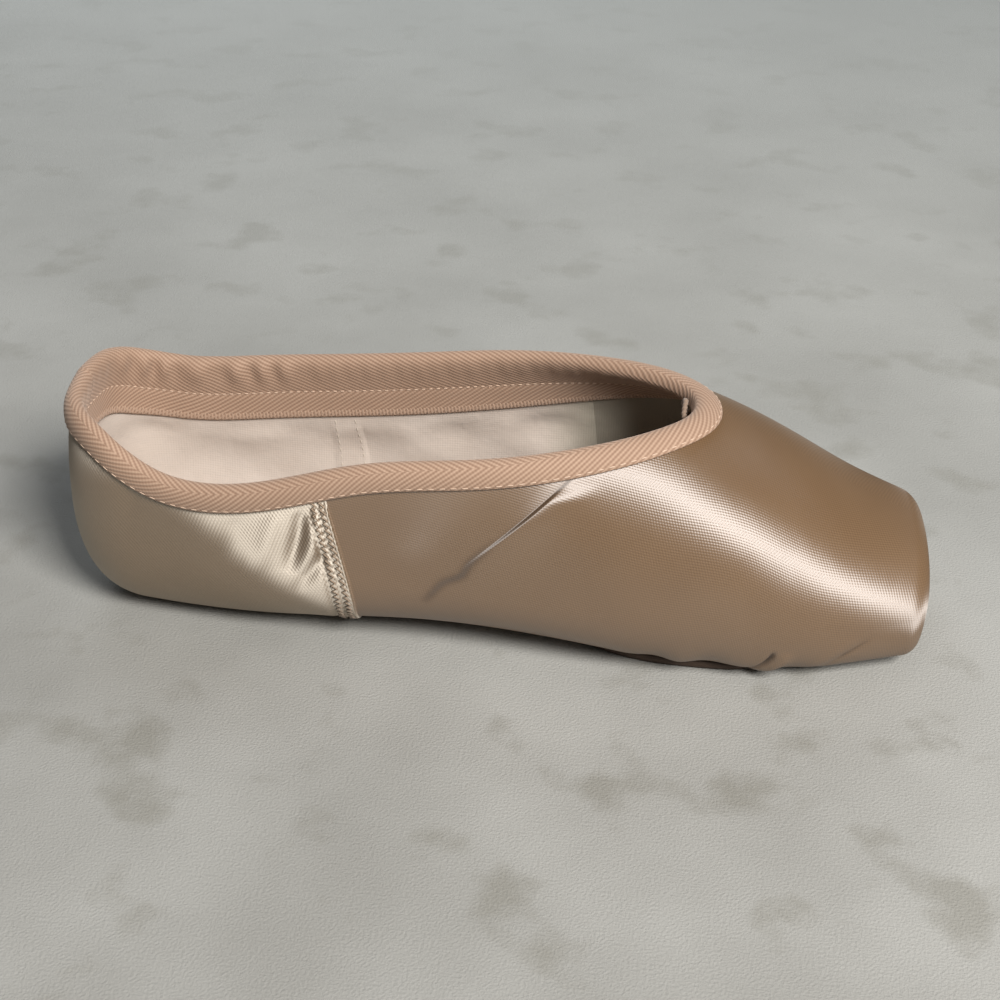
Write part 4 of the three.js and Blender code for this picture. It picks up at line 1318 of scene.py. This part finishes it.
leather, shader, nodes = new_finish("sole_leather", Roughness=0.72)
grain = nodes.noise(700, 4)
scuffs = nodes.noise(55, 5)
colour = nodes.mix(scuffs, (0.028, 0.016, 0.011, 1), (0.075, 0.045, 0.03, 1))
colour = nodes.mix(nodes.sum("MULTIPLY", grain, 0.35), colour, (0.1, 0.066, 0.045, 1))
nodes.plug(shader.inputs["Base Color"], colour)
nodes.plug(shader.inputs["Normal"], nodes.bump(grain, 0.12, 0.6))
sole.data.materials.append(leather)
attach(sole, "root")
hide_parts("outsole")
print("sole:", len(sole.data.polygons), "faces")

# %% Sock
SOCK_BACK, SOCK_TIP = -99.5, 92.0
SOCK_THICKNESS = 1.6
SOCK_HEEL_ROUND, SOCK_TIP_ROUND = 8, 24
SOCK_BEVEL = 0.3
SOCK_YARN = 0.9


def sock_bed(x, y):
    """Height of the turned-under margin that the sock lies on."""
    return under_at(plan_along(x, y)) + wall_at(np.maximum(x - HEEL_AXIS, 0)) + GAP + 0.1


sock_stations = spread(SOCK_BACK, SOCK_TIP, SOCK_ROWS)
sock_seat = seat_at(np.maximum(sock_stations - HEEL_AXIS, 0)) - 0.8
sock_ends = end_round(sock_stations, SOCK_BACK - 0.3, SOCK_TIP + 0.4, SOCK_HEEL_ROUND, SOCK_TIP_ROUND)
sock_half = np.maximum(sock_seat * sock_ends, 1)


def sock_top(x, y):
    """Height of the upper face, which is a little uneven."""
    return sock_bed(x, y) + SOCK_THICKNESS + 0.12 * np.sin(x * 0.31) * np.cos(y * 0.2)


sock = plate("sock", sock_stations, sock_half, sock_top, sock_bed, SOCK_BEVEL)

sock_cloth, shader, nodes = new_finish("sock_cloth", Roughness=0.9)
split = nodes.add("ShaderNodeSeparateXYZ", Vector=nodes.place())
warp, weft = (
    nodes.sum("SINE", nodes.sum("MULTIPLY", split.outputs[axis], 2 * math.pi / (SOCK_YARN * MM)))
    for axis in (0, 1)
)
twill = nodes.sum("MULTIPLY", nodes.sum("ADD", warp, weft), 0.25)
colour = nodes.mix(nodes.noise(40, 4), (0.5, 0.44, 0.37, 1), (0.7, 0.64, 0.56, 1))
nodes.plug(shader.inputs["Base Color"], colour)
nodes.plug(shader.inputs["Normal"], nodes.bump(twill, 0.15, 0.5))
sock.data.materials.append(sock_cloth)
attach(sock, "root")
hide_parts("insole")
print("sock:", len(sock.data.polygons), "faces")

# %% [markdown]
# ## The drawstring
# A thin cord shows as a small loop at the throat. It is a limp cord of about 41 mm, whose two ends go
# back into the shoe under the vamp. Its route repeats the points of the solid. The braid shows as small
# beads, made by letting the tube's radius swell and shrink along the cord and round it.

# %% Route and tube of the drawstring
CORD_RADIUS = 0.75
CORD_ROWS, CORD_SIDES = 170, 18
BEAD_PITCH = 1.05
BEAD_DEPTH = 0.16
THROAT_TIP = skin(np.array(THROAT), np.array(3.0), LEFT)
CORD_PATH = np.array([
    (-9, -3, -10.8), (-3.2, -3.2, -8.6), (1.8, -3.4, -5.8), (3.9, -3.1, -2.2), (3.7, 0, 0.5),
    (3.9, 3.1, -2.2), (1.8, 3.4, -5.8), (-3.2, 3.2, -8.6), (-9, 3, -10.8),
], dtype=float) * (-1, 1, 1) + THROAT_TIP


def through(points, count):
    """A centripetal curve through the points, with the ends carried on."""
    ends = np.vstack([2 * points[0] - points[1], points, 2 * points[-1] - points[-2]])
    fine = []
    for a, b, c, d in zip(ends[:-3], ends[1:-2], ends[2:-1], ends[3:]):
        t = np.cumsum([0] + [np.linalg.norm(q - p) ** 0.5 for p, q in ((a, b), (b, c), (c, d))])
        s = np.linspace(t[1], t[2], 40)[:-1, None]
        ab = (t[1] - s) / (t[1] - t[0]) * a + (s - t[0]) / (t[1] - t[0]) * b
        bc = (t[2] - s) / (t[2] - t[1]) * b + (s - t[1]) / (t[2] - t[1]) * c
        cd = (t[3] - s) / (t[3] - t[2]) * c + (s - t[2]) / (t[3] - t[2]) * d
        abc = (t[2] - s) / (t[2] - t[0]) * ab + (s - t[0]) / (t[2] - t[0]) * bc
        bcd = (t[3] - s) / (t[3] - t[1]) * bc + (s - t[1]) / (t[3] - t[1]) * cd
        fine.append((t[2] - s) / (t[2] - t[1]) * abc + (s - t[1]) / (t[2] - t[1]) * bcd)
    fine = np.vstack(fine + [points[-1:]])
    reached = apart(fine)
    wanted = np.linspace(0, reached[-1], count)
    return np.stack([np.interp(wanted, reached, fine[:, k]) for k in range(3)], axis=1)


cord_line = through(CORD_PATH, CORD_ROWS)
heading = unit(np.gradient(cord_line, axis=0))
across = unit(np.cross(heading, (0.9, 0.0, -0.4)))
over = np.cross(across, heading)
angle = np.linspace(0, 2 * math.pi, CORD_SIDES, endpoint=False)
beads = apart(cord_line)[:, None] * 2 * math.pi / BEAD_PITCH
radius = CORD_RADIUS * (1 - BEAD_DEPTH + BEAD_DEPTH * np.cos(beads + angle[None]))
ring = across[:, None] * np.cos(angle)[None, :, None] + over[:, None] * np.sin(angle)[None, :, None]
tube = cord_line[:, None] + ring * radius[..., None]
index = np.arange(tube.shape[0] * tube.shape[1]).reshape(tube.shape[:2])
faces = grid_faces(np.concatenate([index, index[:, :1]], axis=1), True).tolist()
faces += [index[0].tolist(), index[-1][::-1].tolist()]
drawstring = mesh_object("drawstring_loop", tube.reshape(-1, 3), faces)

cord_cotton, shader, nodes = new_finish("cord_cotton", Roughness=0.75, Sheen_Weight=0.3)
colour = nodes.mix(nodes.noise(1200, 3), (0.15, 0.1, 0.07, 1), (0.36, 0.265, 0.2, 1))
nodes.plug(shader.inputs["Base Color"], colour)
nodes.plug(shader.inputs["Normal"], nodes.bump(nodes.noise(2200, 2), 0.08, 0.6))
drawstring.data.materials.append(cord_cotton)
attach(drawstring, "root")
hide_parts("drawstring")
print("drawstring:", round(float(apart(cord_line)[-1]), 1), "mm long")

# %% [markdown]
# ## Floor and light
# The floor is a pale, mottled cloth with a short pile, and painted light makes it lighter towards the far
# side. One soft key light stands high in front of the toe, on the camera's side, and draws the bright band
# over the toe box and the bright patch of the heel. A weak light from behind softens the shadows, and a
# dim sky fills the rest.

# %% Floor
FLOOR_REACH = 3
FLOOR_CORNERS = [(x * FLOOR_REACH, y * FLOOR_REACH, 0) for x, y in ((-1, -1), (1, -1), (1, 1), (-1, 1))]

floor_mesh = bpy.data.meshes.new("floor")
floor_mesh.from_pydata(FLOOR_CORNERS, [], [(0, 1, 2, 3)])
floor = bpy.data.objects.new("floor", floor_mesh)
bpy.context.scene.collection.objects.link(floor)
floor_finish, shader, nodes = new_finish("pale_floor", Roughness=0.85)
broad = nodes.sum("MULTIPLY_ADD", nodes.noise(11, 5), 3.2, -1.1, clamp=True)
stroked = nodes.sum("MULTIPLY_ADD", nodes.noise(34, 6), 9.0, -5.0, clamp=True)
pile = nodes.noise(1500, 3)
# Painted light: the floor turns lighter towards the far side.
far = nodes.add("ShaderNodeSeparateXYZ", Vector=nodes.place()).outputs[1]
far = nodes.sum("MULTIPLY_ADD", far, 1.1, 0.05, clamp=True)
colour = nodes.mix(broad, (0.265, 0.265, 0.25, 1), (0.385, 0.39, 0.375, 1))
colour = nodes.mix(nodes.sum("MULTIPLY", stroked, 0.55), colour, (0.17, 0.162, 0.13, 1))
colour = nodes.mix(far, colour, (0.62, 0.66, 0.645, 1))
colour = nodes.mix(nodes.sum("MULTIPLY", pile, 0.4), colour, (0.42, 0.42, 0.405, 1))
nodes.plug(shader.inputs["Base Color"], colour)
nodes.plug(shader.inputs["Normal"], nodes.bump(pile, 0.6, 0.5))
floor.data.materials.append(floor_finish)

# %% Lights
def soft_light(name, place, aim, size, power, colour):
    """A square lamp that looks at a point of the shoe."""
    lamp = bpy.data.lights.new(name, "AREA")
    lamp.shape = "SQUARE"
    lamp.size = size
    lamp.energy = power
    lamp.color = colour
    made = bpy.data.objects.new(name, lamp)
    made.location = place
    made.rotation_mode = "QUATERNION"
    made.rotation_quaternion = (Vector(aim) - Vector(place)).to_track_quat("-Z", "Y")
    bpy.context.scene.collection.objects.link(made)


def from_above(azimuth, elevation, distance):
    """A place round the shoe: azimuth 0 is on its right side, 90 in front of its toe."""
    a = math.radians(azimuth)
    e = math.radians(elevation)
    level = distance * math.cos(e)
    return level * math.sin(a), -level * math.cos(a), distance * math.sin(e)


soft_light("key", from_above(36, 44, 1.3), (0.03, 0, 0.03), 0.45, 25, (1, 0.96, 0.91))
soft_light("fill", from_above(205, 38, 1.5), (0, 0, 0.03), 0.9, 6, (0.94, 0.97, 1))
world = bpy.data.worlds.new("studio")
world.use_nodes = True
sky = world.node_tree.nodes["Background"]
sky.inputs["Color"].default_value = (0.96, 0.97, 1.0, 1)
sky.inputs["Strength"].default_value = 0.075
bpy.context.scene.world = world
bpy.context.scene.view_settings.view_transform = "Standard"

# %% [markdown]
# ## The last line
# The scene is brought up to date.

# %% Bring the scene up to date
bpy.context.view_layer.update()
